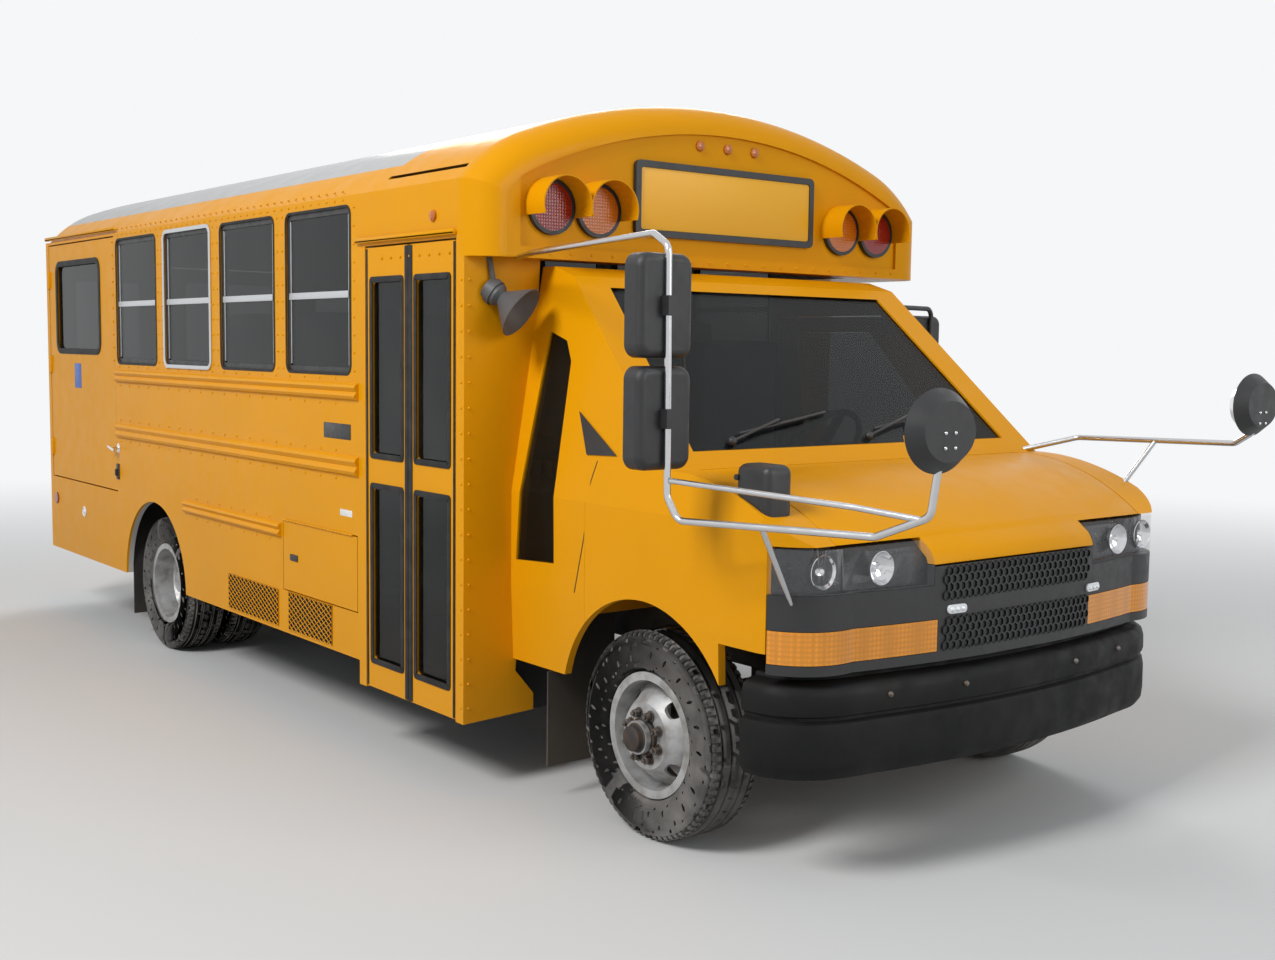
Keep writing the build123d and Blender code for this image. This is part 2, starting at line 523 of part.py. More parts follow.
# The rear wall carries the same lamps, signs and visors, facing rearwards.
PLATE_Y = 830
PLATE_Z = 1310
PLATE_PAD = (310, 160, 12)
PLATE_HOLES = (178, 121)
PLATE_HOLE_RADIUS = 3.5
PLATE_HOLE_DEPTH = 20
rear_wall_x = (BODY_REAR_X, BODY_REAR_X + WALL)
with BuildPart() as rear_wall:
    inside = BODY_HALF_WIDTH - WALL
    block(rear_wall_x, (-inside, inside), (SKIRT_Z + 200, EAVE_Z))
    block(rear_wall_x, REAR_DOOR_Y, (REAR_DOOR_BOTTOM_Z, REAR_DOOR_TOP_Z), mode=Mode.SUBTRACT)
    with BuildSketch(Plane.YZ.offset(BODY_REAR_X)):
        with Locations((-REAR_WINDOW_Y, REAR_WINDOW_Z), (REAR_WINDOW_Y, REAR_WINDOW_Z)):
            RectangleRounded(REAR_WINDOW_WIDTH, REAR_WINDOW_HEIGHT, WINDOW_RADIUS)
    extrude(amount=WALL, mode=Mode.SUBTRACT)
    for colour, lamp_y in LAMPS:
        for side in (-1, 1):
            extrude(lamp_hood(BODY_REAR_X, side * lamp_y, REAR_LAMP_Z, -1), amount=REAR_HOOD_DEPTH)
    block((BODY_REAR_X - PLATE_PAD[2], BODY_REAR_X + 1), (PLATE_Y - PLATE_PAD[0] / 2, PLATE_Y + PLATE_PAD[0] / 2),
          (PLATE_Z - PLATE_PAD[1] / 2, PLATE_Z + PLATE_PAD[1] / 2))
    with BuildSketch(facing_plane(BODY_REAR_X - PLATE_PAD[2], PLATE_Y, PLATE_Z, -1)):
        with GridLocations(PLATE_HOLES[0], PLATE_HOLES[1], 2, 2):
            Circle(PLATE_HOLE_RADIUS)
    extrude(amount=-PLATE_HOLE_DEPTH, mode=Mode.SUBTRACT)
save(rear_wall, "rear_wall")


for colour, lamp_y in LAMPS:
    with BuildPart() as warning_lamps:
        for x, z, facing in ((lamp_face_x, LAMP_Z, 1), (BODY_REAR_X, REAR_LAMP_Z, -1)):
            for side in (-1, 1):
                with BuildSketch(facing_plane(x, side * lamp_y, z, facing)):
                    Circle(LAMP_RADIUS)
                extrude(amount=BEZEL_DEPTH)
    save(warning_lamps, f"{colour}_lamps")

REAR_SIGN_Z = 2262
with BuildPart() as lamp_bezels:
    for colour, lamp_y in LAMPS:
        for x, z, facing in ((lamp_face_x, LAMP_Z, 1), (BODY_REAR_X, REAR_LAMP_Z, -1)):
            for side in (-1, 1):
                with BuildSketch(facing_plane(x, side * lamp_y, z, facing)):
                    Circle(BEZEL_RADIUS)
                    Circle(LAMP_RADIUS, mode=Mode.SUBTRACT)
                extrude(amount=BEZEL_DEPTH)
    for x, z, facing, height in ((lamp_face_x, SIGN_Z, 1, SIGN_HEIGHT), (BODY_REAR_X, REAR_SIGN_Z, -1, 100)):
        with BuildSketch(facing_plane(x, 0, z, facing)):
            RectangleRounded(SIGN_WIDTH, height, 24)
        extrude(amount=SIGN_DEPTH)
        with BuildSketch(facing_plane(x + facing * SIGN_DEPTH, 0, z, facing)):
            RectangleRounded(SIGN_WIDTH - 2 * SIGN_BORDER, height - 2 * SIGN_BORDER, 14)
        extrude(amount=-6, mode=Mode.SUBTRACT)
save(lamp_bezels, "lamp_and_sign_bezels")

# ---- bulkhead: the flat front wall of the body beside the cab, right and left ----
BULKHEAD_RIGHT = ((-BODY_HALF_WIDTH, STEP_SKIRT_Z), (-900, STEP_SKIRT_Z + 15), (-900, 350), (-985, 450),
                  (-940, 900), (-880, CAP_BOTTOM_Z), (-BODY_HALF_WIDTH, CAP_BOTTOM_Z))  # y, z
BULKHEAD_LEFT = ((BODY_HALF_WIDTH, SKIRT_Z), (985, SKIRT_Z), (985, 1100), (880, CAP_BOTTOM_Z),
                 (BODY_HALF_WIDTH, CAP_BOTTOM_Z))  # y, z
with BuildPart() as bulkhead:
    for front_x, outline in ((BODY_FRONT_X, BULKHEAD_RIGHT), (CAB_REAR_LEFT_X, BULKHEAD_LEFT)):
        with BuildSketch(Plane.YZ.offset(front_x)):
            with BuildLine():
                Polyline(*outline, close=True)
            make_face()
        extrude(amount=-WALL)
save(bulkhead, "bulkhead")

# ======================= doors =======================


def framed_panel(plane, width, height, thickness, windows):
    """A flat door leaf with rounded window holes: windows holds x, y, width, height in the plane."""
    with BuildPart() as leaf:
        with BuildSketch(plane):
            Rectangle(width, height)
            for x, y, window_width, window_height in windows:
                with Locations((x, y)):
                    RectangleRounded(window_width, window_height, WINDOW_RADIUS, mode=Mode.SUBTRACT)
        extrude(amount=thickness)
    return leaf.part


def glass_panes(plane, windows, depth, margin=0.5):
    """Panes that fill the window holes of a leaf at one depth in it."""
    with BuildPart() as panes:
        with BuildSketch(plane.offset(depth)):
            for x, y, window_width, window_height in windows:
                with Locations((x, y)):
                    RectangleRounded(window_width - 2 * margin, window_height - 2 * margin, WINDOW_RADIUS - margin)
        extrude(amount=GLASS_THICKNESS)
    return panes.part


GLASS_THICKNESS = 6
LEAF_THICKNESS = 36
ENTRY_WINDOW_SILL_Z = 1186
ENTRY_WINDOW_LOW = (395, 1120)  # bottom z, top z
ENTRY_WINDOW_HIGH = (1250, 1960)  # bottom z, top z
ENTRY_WINDOW_WIDTH = 250
entry_height = ENTRY_TOP_Z - ENTRY_BOTTOM_Z - DOOR_GAP
entry_centre_z = ENTRY_BOTTOM_Z + entry_height / 2
leaf_width = (ENTRY_FRONT_X - ENTRY_REAR_X - 2 * DOOR_GAP - LEAF_SEAL) / 2
entry_windows = [(0, (low + high) / 2 - entry_centre_z, ENTRY_WINDOW_WIDTH, high - low)
                 for low, high in (ENTRY_WINDOW_LOW, ENTRY_WINDOW_HIGH)]
LEAF_INSET = 2
leaf_y = -BODY_HALF_WIDTH + LEAF_INSET + LEAF_THICKNESS
HINGE_RADIUS = 9
HINGE_OUT = 12

for name, leaf_x, hinge_x in (("rear", ENTRY_REAR_X + DOOR_GAP + leaf_width / 2, ENTRY_REAR_X + DOOR_GAP),
                              ("front", ENTRY_FRONT_X - DOOR_GAP - leaf_width / 2, ENTRY_FRONT_X - DOOR_GAP)):
    leaf_plane = Plane(origin=(leaf_x, leaf_y, entry_centre_z), x_dir=(1, 0, 0), z_dir=(0, -1, 0))
    with BuildPart() as entry_leaf:
        add(framed_panel(leaf_plane, leaf_width, entry_height, LEAF_THICKNESS, entry_windows))
    save(entry_leaf, f"entry_door_{name}_leaf")
    with BuildPart() as entry_glass:
        add(glass_panes(leaf_plane, entry_windows, LEAF_THICKNESS / 2))
    save(entry_glass, f"entry_glass_{name}")

lift_width = LIFT_DOOR_WIDTH - 2 * DOOR_GAP
lift_height = LIFT_DOOR_TOP_Z - LIFT_DOOR_BOTTOM_Z - 2 * DOOR_GAP
lift_centre = (LIFT_DOOR_REAR_X + LIFT_DOOR_WIDTH / 2, (LIFT_DOOR_TOP_Z + LIFT_DOOR_BOTTOM_Z) / 2)
LIFT_WINDOW = (FRONT_AXLE_X - 5280, 1905, 800, 530)  # centre x, centre z, width, height
lift_plane = Plane(origin=(lift_centre[0], leaf_y, lift_centre[1]), x_dir=(1, 0, 0), z_dir=(0, -1, 0))
lift_windows = [(LIFT_WINDOW[0] - lift_centre[0], LIFT_WINDOW[1] - lift_centre[1], LIFT_WINDOW[2], LIFT_WINDOW[3])]
with BuildPart() as lift_door:
    add(framed_panel(lift_plane, lift_width, lift_height, LEAF_THICKNESS, lift_windows))
save(lift_door, "lift_door")
with BuildPart() as lift_glass:
    add(glass_panes(lift_plane, lift_windows, LEAF_THICKNESS / 2))
save(lift_glass, "lift_door_glass")

rear_width = REAR_DOOR_WIDTH - 2 * DOOR_GAP
rear_height = REAR_DOOR_TOP_Z - REAR_DOOR_BOTTOM_Z - 2 * DOOR_GAP
rear_centre_z = (REAR_DOOR_TOP_Z + REAR_DOOR_BOTTOM_Z) / 2
rear_plane = Plane(origin=(BODY_REAR_X + LEAF_INSET + LEAF_THICKNESS, 0, rear_centre_z), x_dir=(0, -1, 0),
                   z_dir=(-1, 0, 0))
rear_windows = [(0, REAR_WINDOW_Z - rear_centre_z, 640, REAR_WINDOW_HEIGHT), (0, 1160 - rear_centre_z, 640, 360)]
with BuildPart() as rear_door:
    add(framed_panel(rear_plane, rear_width, rear_height, LEAF_THICKNESS, rear_windows))
save(rear_door, "rear_door")
with BuildPart() as rear_door_glass:
    add(glass_panes(rear_plane, rear_windows, LEAF_THICKNESS / 2))
save(rear_door_glass, "rear_door_glass")

BATTERY_DOOR_THICKNESS = 20
battery_height = BATTERY_DOOR_TOP_Z - BATTERY_DOOR_BOTTOM_Z - 2 * PANEL_GAP
battery_centre = (BATTERY_DOOR_REAR_X + BATTERY_DOOR_WIDTH / 2, (BATTERY_DOOR_TOP_Z + BATTERY_DOOR_BOTTOM_Z) / 2)
battery_plane = Plane(origin=(battery_centre[0], -BODY_HALF_WIDTH + BATTERY_DOOR_THICKNESS, battery_centre[1]),
                      x_dir=(1, 0, 0), z_dir=(0, -1, 0))
with BuildPart() as battery_door:
    add(framed_panel(battery_plane, BATTERY_DOOR_WIDTH - 2 * PANEL_GAP, battery_height, BATTERY_DOOR_THICKNESS, []))
save(battery_door, "battery_door")

# Stop arm: an octagonal blade on a short hinged arm, flat against the left wall at rest.
stop_y = BODY_HALF_WIDTH + STOP_STANDOFF
stop_centre_x = STOP_HINGE_X - 60 - STOP_SIZE / 2
with BuildPart() as stop_arm:
    with BuildSketch(side_plane(stop_y + STOP_THICKNESS)):
        with Locations((stop_centre_x, STOP_Z)):
            RegularPolygon(STOP_SIZE / 2, 8, major_radius=False, rotation=22.5)
    extrude(amount=STOP_THICKNESS)
    block((stop_centre_x - 60, STOP_HINGE_X + 10), (stop_y, stop_y + STOP_THICKNESS), (STOP_Z - 60, STOP_Z + 60))
save(stop_arm, "stop_arm")

# Side and rear windows: split-sash frames with one pane above the other.
SASH = 26
SASH_MID_Z = 1912
SASH_DEPTH = 24
SASH_GAP = 0.5
SASH_INSET = 6
SASH_GLASS_DEPTH = 9



with BuildPart() as window_frames:
    for side, centres in ((-1, RIGHT_WINDOW_XS), (1, LEFT_WINDOW_XS)):
        outer_y = side * (BODY_HALF_WIDTH - SASH_INSET)
        with BuildSketch(side_plane(max(outer_y, outer_y - side * SASH_DEPTH))):
            for x in centres:
                with Locations((x, WINDOW_Z)):
                    RectangleRounded(WINDOW_WIDTH - 2 * SASH_GAP, WINDOW_HEIGHT - 2 * SASH_GAP, WINDOW_RADIUS - SASH_GAP)
                for low, high in ((WINDOW_BOTTOM_Z + SASH, SASH_MID_Z - SASH / 2),
                                  (SASH_MID_Z + SASH / 2, WINDOW_TOP_Z - SASH)):
                    with Locations((x, (low + high) / 2)):
                        Rectangle(WINDOW_WIDTH - 2 * SASH, high - low, mode=Mode.SUBTRACT)
        extrude(amount=SASH_DEPTH)
    with BuildSketch(Plane.YZ.offset(BODY_REAR_X + SASH_INSET)):
        for y in (-REAR_WINDOW_Y, REAR_WINDOW_Y):
            with Locations((y, REAR_WINDOW_Z)):
                RectangleRounded(REAR_WINDOW_WIDTH - 2 * SASH_GAP, REAR_WINDOW_HEIGHT - 2 * SASH_GAP,
                                 WINDOW_RADIUS - SASH_GAP)
                Rectangle(REAR_WINDOW_WIDTH - 2 * SASH, REAR_WINDOW_HEIGHT - 2 * SASH, mode=Mode.SUBTRACT)
    extrude(amount=SASH_DEPTH)
save(window_frames, "window_frames")

with BuildPart() as body_glass:
    for side, centres in ((-1, RIGHT_WINDOW_XS), (1, LEFT_WINDOW_XS)):
        pane_y = side * (BODY_HALF_WIDTH - SASH_INSET - SASH_GLASS_DEPTH)
        with BuildSketch(side_plane(pane_y)):
            for x in centres:
                for low, high in ((WINDOW_BOTTOM_Z + SASH, SASH_MID_Z - SASH / 2),
                                  (SASH_MID_Z + SASH / 2, WINDOW_TOP_Z - SASH)):
                    with Locations((x, (low + high) / 2)):
                        Rectangle(WINDOW_WIDTH - 2 * SASH - 1, high - low - 1)
        extrude(amount=GLASS_THICKNESS / 2, both=True)
    with BuildSketch(Plane.YZ.offset(BODY_REAR_X + SASH_INSET + SASH_GLASS_DEPTH)):
        for y in (-REAR_WINDOW_Y, REAR_WINDOW_Y):
            with Locations((y, REAR_WINDOW_Z)):
                Rectangle(REAR_WINDOW_WIDTH - 2 * SASH - 1, REAR_WINDOW_HEIGHT - 2 * SASH - 1)
    extrude(amount=GLASS_THICKNESS)
save(body_glass, "body_glass")

# ======================= van cab and nose =======================

FORM_REAR_X = CAB_REAR_LEFT_X
WAIST_Z = 1150
WINDSHIELD_TOP_X = FRONT_AXLE_X - 590
WINDSHIELD_TOP_Z = 1965


def van_form(inset):
    """The van's closed outer form, moved inwards: side profile, front section and plan together."""
    with BuildPart() as form:
        with BuildSketch(side_plane(CAB_HALF_WIDTH)):
            with BuildLine():
                Polyline((NOSE_X - inset, HOOD_FRONT_Z - 60 - inset), (NOSE_X + 20 - inset, 640), (NOSE_X - 60, 500),
                         (FORM_REAR_X, 500), (FORM_REAR_X, CAB_ROOF_Z - inset),
                         (WINDSHIELD_TOP_X - 130, CAB_ROOF_Z - inset),
                         (WINDSHIELD_TOP_X - 0.6 * inset, WINDSHIELD_TOP_Z - 0.8 * inset),
                         (COWL_X - 0.8 * inset, COWL_Z - 0.8 * inset))
                ThreePointArc((COWL_X - 0.8 * inset, COWL_Z - 0.8 * inset),
                              (FRONT_AXLE_X + 520 - 0.2 * inset, COWL_Z - 75 - inset),
                              (NOSE_X - 25 - 0.6 * inset, HOOD_FRONT_Z + 20 - 0.9 * inset))
                ThreePointArc((NOSE_X - 25 - 0.6 * inset, HOOD_FRONT_Z + 20 - 0.9 * inset),
                              (NOSE_X - 5 - 0.9 * inset, HOOD_FRONT_Z - 15 - 0.9 * inset),
                              (NOSE_X - inset, HOOD_FRONT_Z - 60 - inset))
            make_face()
        extrude(amount=2 * CAB_HALF_WIDTH)
        with BuildSketch(Plane.YZ.offset(FORM_REAR_X)):
            with BuildLine():
                waist = CAB_HALF_WIDTH - inset
                top = CAB_TOP_HALF_WIDTH - inset
                Polyline((-waist + 15, 400), (-waist, 800), (-waist, WAIST_Z), (-top, CAB_ROOF_Z + 100),
                         (top, CAB_ROOF_Z + 100), (waist, WAIST_Z), (waist, 800), (waist - 15, 400), close=True)
            make_face()
        extrude(amount=NOSE_X + 100 - FORM_REAR_X, mode=Mode.INTERSECT)
        with BuildSketch(Plane.XY.offset(400)):
            with BuildLine():
                corner_x = FRONT_AXLE_X + 560
                side_y = CAB_HALF_WIDTH - inset
                Polyline((corner_x, -side_y), (FORM_REAR_X, -side_y), (FORM_REAR_X, side_y), (corner_x, side_y))
                ThreePointArc((corner_x, side_y), (NOSE_X - 95 - inset, side_y - 70), (NOSE_X - 50 - inset, side_y - 250))
                ThreePointArc((NOSE_X - 50 - inset, side_y - 250), (NOSE_X + 20 - inset, 0),
                              (NOSE_X - 50 - inset, -side_y + 250))
                ThreePointArc((NOSE_X - 50 - inset, -side_y + 250), (NOSE_X - 95 - inset, -side_y + 70),
                              (corner_x, -side_y))
            make_face()
        extrude(amount=1800, mode=Mode.INTERSECT)
    return form.part


van_outer = van_form(0)
van_inner = van_form(CAB_SHELL)
with BuildPart() as van_shell:
    add(van_outer)
    add(van_inner, mode=Mode.SUBTRACT)


def side_region(points, y_low, y_high):
    """A prism between two y values from an outline of x, z points."""
    with BuildPart() as region:
        with BuildSketch(side_plane(y_high)):
            with BuildLine():
                Polyline(*points, close=True)
            make_face()
        extrude(amount=y_high - y_low)
    return region.part


def region_box(x, y, z):
    """A box given as three (low, high) pairs, as a part of its own."""
    with BuildPart() as region:
        block(x, y, z)
    return region.part


# Outlines in the side view, as x behind (-) or ahead (+) of the front axle, and z.
DOOR_OUTLINE = ((-1235, 520), (-1235, 1860), (-640, 1860), (-330, 1500), (-330, 520))
DOOR_WINDOW = ((-1160, 1190), (-1160, 1785), (-690, 1785), (-430, 1480), (-430, 1190))
CAB_WINDOW = ((-768, 890), (-516, 905), (-530, 1650), (-575, 1725), (-690, 1760))
WINDSHIELD = ((-840, 1350), (840, 1350), (735, 1925), (-735, 1925))  # y, z
WIDE = 1300
GLASS_INSET = 8
CAB_DOOR_THICKNESS = 60
CAB_GAP = 5
FASCIA_Z = (700, 1012)
HEADLAMP_Y = (430, 1010)
HEADLAMP_Z = (950, 1095)
TURN_LAMP_Z = (732, 840)
LAMP_REAR_X = FRONT_AXLE_X + 610
HOOD_HALF_WIDTHS = (868, 800)  # at the cowl, at the nose
HOOD_REAR_X = COWL_X + 12


def shifted(points, grow=0.0):
    """Turn stations behind or ahead of the front axle into x, moved out from their middle by grow."""
    middle_x = sum(x for x, z in points) / len(points)
    middle_z = sum(z for x, z in points) / len(points)
    return [(FRONT_AXLE_X + x + grow * (1 if x > middle_x else -1), z + grow * (1 if z > middle_z else -1))
            for x, z in points]


def van_layer(outer, inner):
    """A layer of the van's surface between two insets."""
    with BuildPart() as layer:
        add(van_form(outer))
        add(van_form(inner), mode=Mode.SUBTRACT)
    return layer.part


def windshield_region(grow):
    """A prism along X over the windshield opening."""
    with BuildPart() as region:
        with BuildSketch(Plane.YZ.offset(WINDSHIELD_TOP_X - 60)):
            with BuildLine():
                Polyline(*[(y + grow * (1 if y > 0 else -1), z + grow * (1 if z > 1600 else -1))
                           for y, z in WINDSHIELD], close=True)
            make_face()
        extrude(amount=COWL_X - WINDSHIELD_TOP_X + 100)
    return region.part


with BuildPart() as cab_shell:
    add(van_shell.part)
    add(region_box((FORM_REAR_X, COWL_X), (-WIDE, WIDE), (500, CAB_ROOF_Z + 10)), mode=Mode.INTERSECT)
    block((FORM_REAR_X - 1, BODY_FRONT_X), (-WIDE, CAB_TOP_HALF_WIDTH - 60), (400, CAB_ROOF_Z + 10),
          mode=Mode.SUBTRACT)
    with Locations((FRONT_AXLE_X, 0, AXLE_Z)):
        Cylinder(FRONT_ARCH_RADIUS, 2 * WIDE, rotation=(90, 0, 0), mode=Mode.SUBTRACT)
    block((FRONT_AXLE_X - 325, COWL_X + 1), (-WIDE, -CAB_HALF_WIDTH + 200), (400, COWL_Z - 140), mode=Mode.SUBTRACT)
    block((FRONT_AXLE_X - 325, COWL_X + 1), (CAB_HALF_WIDTH - 200, WIDE), (400, COWL_Z - 140), mode=Mode.SUBTRACT)
    add(side_region(shifted(DOOR_OUTLINE), 0, WIDE), mode=Mode.SUBTRACT)
    add(side_region(shifted(CAB_WINDOW), -WIDE, 0), mode=Mode.SUBTRACT)
    add(windshield_region(0), mode=Mode.SUBTRACT)
    # Floor, footwell riser, shelf over the wheels and firewall.
    cab_inside = CAB_HALF_WIDTH - CAB_DOOR_THICKNESS - 20
    block((BODY_FRONT_X, FRONT_AXLE_X - 500), (-CAB_HALF_WIDTH + CAB_SHELL - 5, cab_inside),
          (CAB_FLOOR_Z - 20, CAB_FLOOR_Z))
    block((FORM_REAR_X, BODY_FRONT_X), (-100, cab_inside), (CAB_FLOOR_Z - 20, CAB_FLOOR_Z))
    block((FRONT_AXLE_X - 520, FRONT_AXLE_X - 500), (-cab_inside, cab_inside), (CAB_FLOOR_Z - 20, 900))
    block((FRONT_AXLE_X - 520, COWL_X - 30), (-cab_inside, cab_inside), (880, 900))
    block((COWL_X - 50, COWL_X - 30), (-cab_inside + 60, cab_inside - 60), (880, COWL_Z - 40))
    block((FRONT_AXLE_X - 520, COWL_X - 50), (-320, 320), (CAB_FLOOR_Z, 1130))
    block((FRONT_AXLE_X - 521, COWL_X), (-306, 306), (400, 1116), mode=Mode.SUBTRACT)
save(cab_shell, "cab_shell")

with BuildPart() as cab_openings:
    add(windshield_region(-1))
    add(side_region(shifted(CAB_WINDOW, -1), -WIDE, -600))
with BuildPart() as cab_glass:
    add(van_layer(GLASS_INSET, GLASS_INSET + GLASS_THICKNESS))
    add(cab_openings.part, mode=Mode.INTERSECT)
save(cab_glass, "cab_glass")

with BuildPart() as driver_door:
    add(van_layer(0, CAB_DOOR_THICKNESS))
    add(side_region(shifted(DOOR_OUTLINE, -CAB_GAP), 600, WIDE), mode=Mode.INTERSECT)
    add(side_region(shifted(DOOR_WINDOW), 0, WIDE), mode=Mode.SUBTRACT)
    with Locations((FRONT_AXLE_X, 0, AXLE_Z)):
        Cylinder(FRONT_ARCH_RADIUS, 2 * WIDE, rotation=(90, 0, 0), mode=Mode.SUBTRACT)
save(driver_door, "driver_door")

with BuildPart() as driver_glass:
    add(van_layer(20, 20 + GLASS_THICKNESS))
    add(side_region(shifted(DOOR_WINDOW, -1), 600, WIDE), mode=Mode.INTERSECT)
save(driver_glass, "driver_door_glass")

with BuildPart() as hood_region_part:
    with BuildSketch(Plane.XY.offset(900)):
        with BuildLine():
            Polyline((HOOD_REAR_X, -HOOD_HALF_WIDTHS[0]), (NOSE_X + 60, -HOOD_HALF_WIDTHS[1]),
                     (NOSE_X + 60, HOOD_HALF_WIDTHS[1]), (HOOD_REAR_X, HOOD_HALF_WIDTHS[0]), close=True)
        make_face()
    extrude(amount=600)
    block((HOOD_REAR_X - 1, NOSE_X + 100), (-HEADLAMP_Y[0], HEADLAMP_Y[0]), (800, FASCIA_Z[1] + PANEL_GAP),
          mode=Mode.SUBTRACT)
    for side in (-1, 1):
        block((HOOD_REAR_X - 1, NOSE_X + 100), sorted((side * HEADLAMP_Y[0], side * WIDE)),
              (800, HEADLAMP_Z[1] + PANEL_GAP), mode=Mode.SUBTRACT)
hood_region = hood_region_part.part
with BuildPart() as hood:
    add(van_shell.part)
    add(hood_region, mode=Mode.INTERSECT)
save(hood, "hood")

with BuildPart() as front_fenders:
    add(van_shell.part)
    add(region_box((FRONT_AXLE_X - 324, NOSE_X + 100), (-WIDE, WIDE), (500, 1400)), mode=Mode.INTERSECT)
    with BuildSketch(Plane.XY.offset(300)):
        with BuildLine():
            Polyline((FRONT_AXLE_X - 400, -HOOD_HALF_WIDTHS[0] - PANEL_GAP),
                     (HOOD_REAR_X, -HOOD_HALF_WIDTHS[0] - PANEL_GAP), (NOSE_X + 60, -HOOD_HALF_WIDTHS[1] - PANEL_GAP),
                     (NOSE_X + 60, HOOD_HALF_WIDTHS[1] + PANEL_GAP), (HOOD_REAR_X, HOOD_HALF_WIDTHS[0] + PANEL_GAP),
                     (FRONT_AXLE_X - 400, HOOD_HALF_WIDTHS[0] + PANEL_GAP), close=True)
        make_face()
    extrude(amount=1200, mode=Mode.SUBTRACT)
    block((FRONT_AXLE_X - 324, COWL_X), (-WIDE, WIDE), (COWL_Z - 140, 1500), mode=Mode.SUBTRACT)
    with Locations((FRONT_AXLE_X, 0, AXLE_Z)):
        Cylinder(FRONT_ARCH_RADIUS, 2 * WIDE, rotation=(90, 0, 0), mode=Mode.SUBTRACT)
    block((LAMP_REAR_X, NOSE_X + 100), (-WIDE, WIDE), (400, HEADLAMP_Z[1] + PANEL_GAP), mode=Mode.SUBTRACT)
    block((FRONT_AXLE_X + 400, NOSE_X + 100), (-WIDE, WIDE), (400, 762), mode=Mode.SUBTRACT)
save(front_fenders, "front_fenders")

front_zone_x = (LAMP_REAR_X + 3, NOSE_X + 100)
with BuildPart() as grille:
    add(van_shell.part)
    add(region_box(front_zone_x, (-WIDE, WIDE), (FASCIA_Z[0], HEADLAMP_Z[1])), mode=Mode.INTERSECT)
    block(front_zone_x, (-HEADLAMP_Y[0], HEADLAMP_Y[0]), (FASCIA_Z[1], HEADLAMP_Z[1] + 1), mode=Mode.SUBTRACT)
    for side in (-1, 1):
        lamp_y = sorted((side * HEADLAMP_Y[0], side * HEADLAMP_Y[1]))
        block(front_zone_x, lamp_y, HEADLAMP_Z, mode=Mode.SUBTRACT)
        block(front_zone_x, sorted((side * (HEADLAMP_Y[0] - 20), side * HEADLAMP_Y[1])), TURN_LAMP_Z,
              mode=Mode.SUBTRACT)
save(grille, "grille")

for label, zone, inner_y in (("headlights", HEADLAMP_Z, HEADLAMP_Y[0]), ("turn_lamps", TURN_LAMP_Z, HEADLAMP_Y[0] - 20)):
    with BuildPart() as pockets:
        for side in (-1, 1):
            block((front_zone_x[0] + 2, front_zone_x[1]), sorted((side * (inner_y + 2), side * WIDE)),
                  (zone[0] + 2, zone[1] - 2))
    with BuildPart() as lamps:
        add(van_shell.part)
        add(pockets.part, mode=Mode.INTERSECT)
    save(lamps, label)

# ======================= bumpers, mirrors and small fittings =======================

BUMPER_THICKNESS = 70
BUMPER_Z = (350, 690)
BUMPER_END_Z = 755
BUMPER_HALF_WIDTH = 1010


def bumper_plan(inset, base_z):
    """Closed plan outline of the front bumper at one inset from its outer face."""
    side_y = BUMPER_HALF_WIDTH - inset
    with BuildSketch(Plane.XY.offset(base_z)) as plan:
        with BuildLine():
            Polyline((FRONT_AXLE_X + 600, -side_y), (FRONT_AXLE_X + 485, -side_y), (FRONT_AXLE_X + 485, side_y),
                     (FRONT_AXLE_X + 600, side_y))
            ThreePointArc((FRONT_AXLE_X + 600, side_y), (BUMPER_FRONT_X - 130 - inset, side_y - 95),
                          (BUMPER_FRONT_X - 72 - inset, side_y - 300))
            ThreePointArc((BUMPER_FRONT_X - 72 - inset, side_y - 300), (BUMPER_FRONT_X - inset, 0),
                          (BUMPER_FRONT_X - 72 - inset, -side_y + 300))
            ThreePointArc((BUMPER_FRONT_X - 72 - inset, -side_y + 300),
                          (BUMPER_FRONT_X - 130 - inset, -side_y + 95), (FRONT_AXLE_X + 600, -side_y))
        make_face()
    return plan.sketch


with BuildPart() as front_bumper:
    extrude(bumper_plan(0, BUMPER_Z[0]), amount=BUMPER_Z[1] - BUMPER_Z[0])
    extrude(bumper_plan(BUMPER_THICKNESS, BUMPER_Z[0]), amount=BUMPER_Z[1] - BUMPER_Z[0], mode=Mode.SUBTRACT)
    block((FRONT_AXLE_X + 484, FRONT_AXLE_X + 486 + BUMPER_THICKNESS),
          (-BUMPER_HALF_WIDTH + BUMPER_THICKNESS, BUMPER_HALF_WIDTH - BUMPER_THICKNESS), BUMPER_Z, mode=Mode.SUBTRACT)
save(front_bumper, "front_bumper")

REAR_BUMPER_Z = (375, 600)
REAR_BUMPER_X = BODY_REAR_X - 42
with BuildPart() as rear_bumper:
    block((REAR_BUMPER_X, BODY_REAR_X), (-BODY_HALF_WIDTH + 10, BODY_HALF_WIDTH - 10), REAR_BUMPER_Z)
    fillet(rear_bumper.edges().filter_by(Axis.Z).group_by(Axis.X)[0], 38)
save(rear_bumper, "rear_bumper")

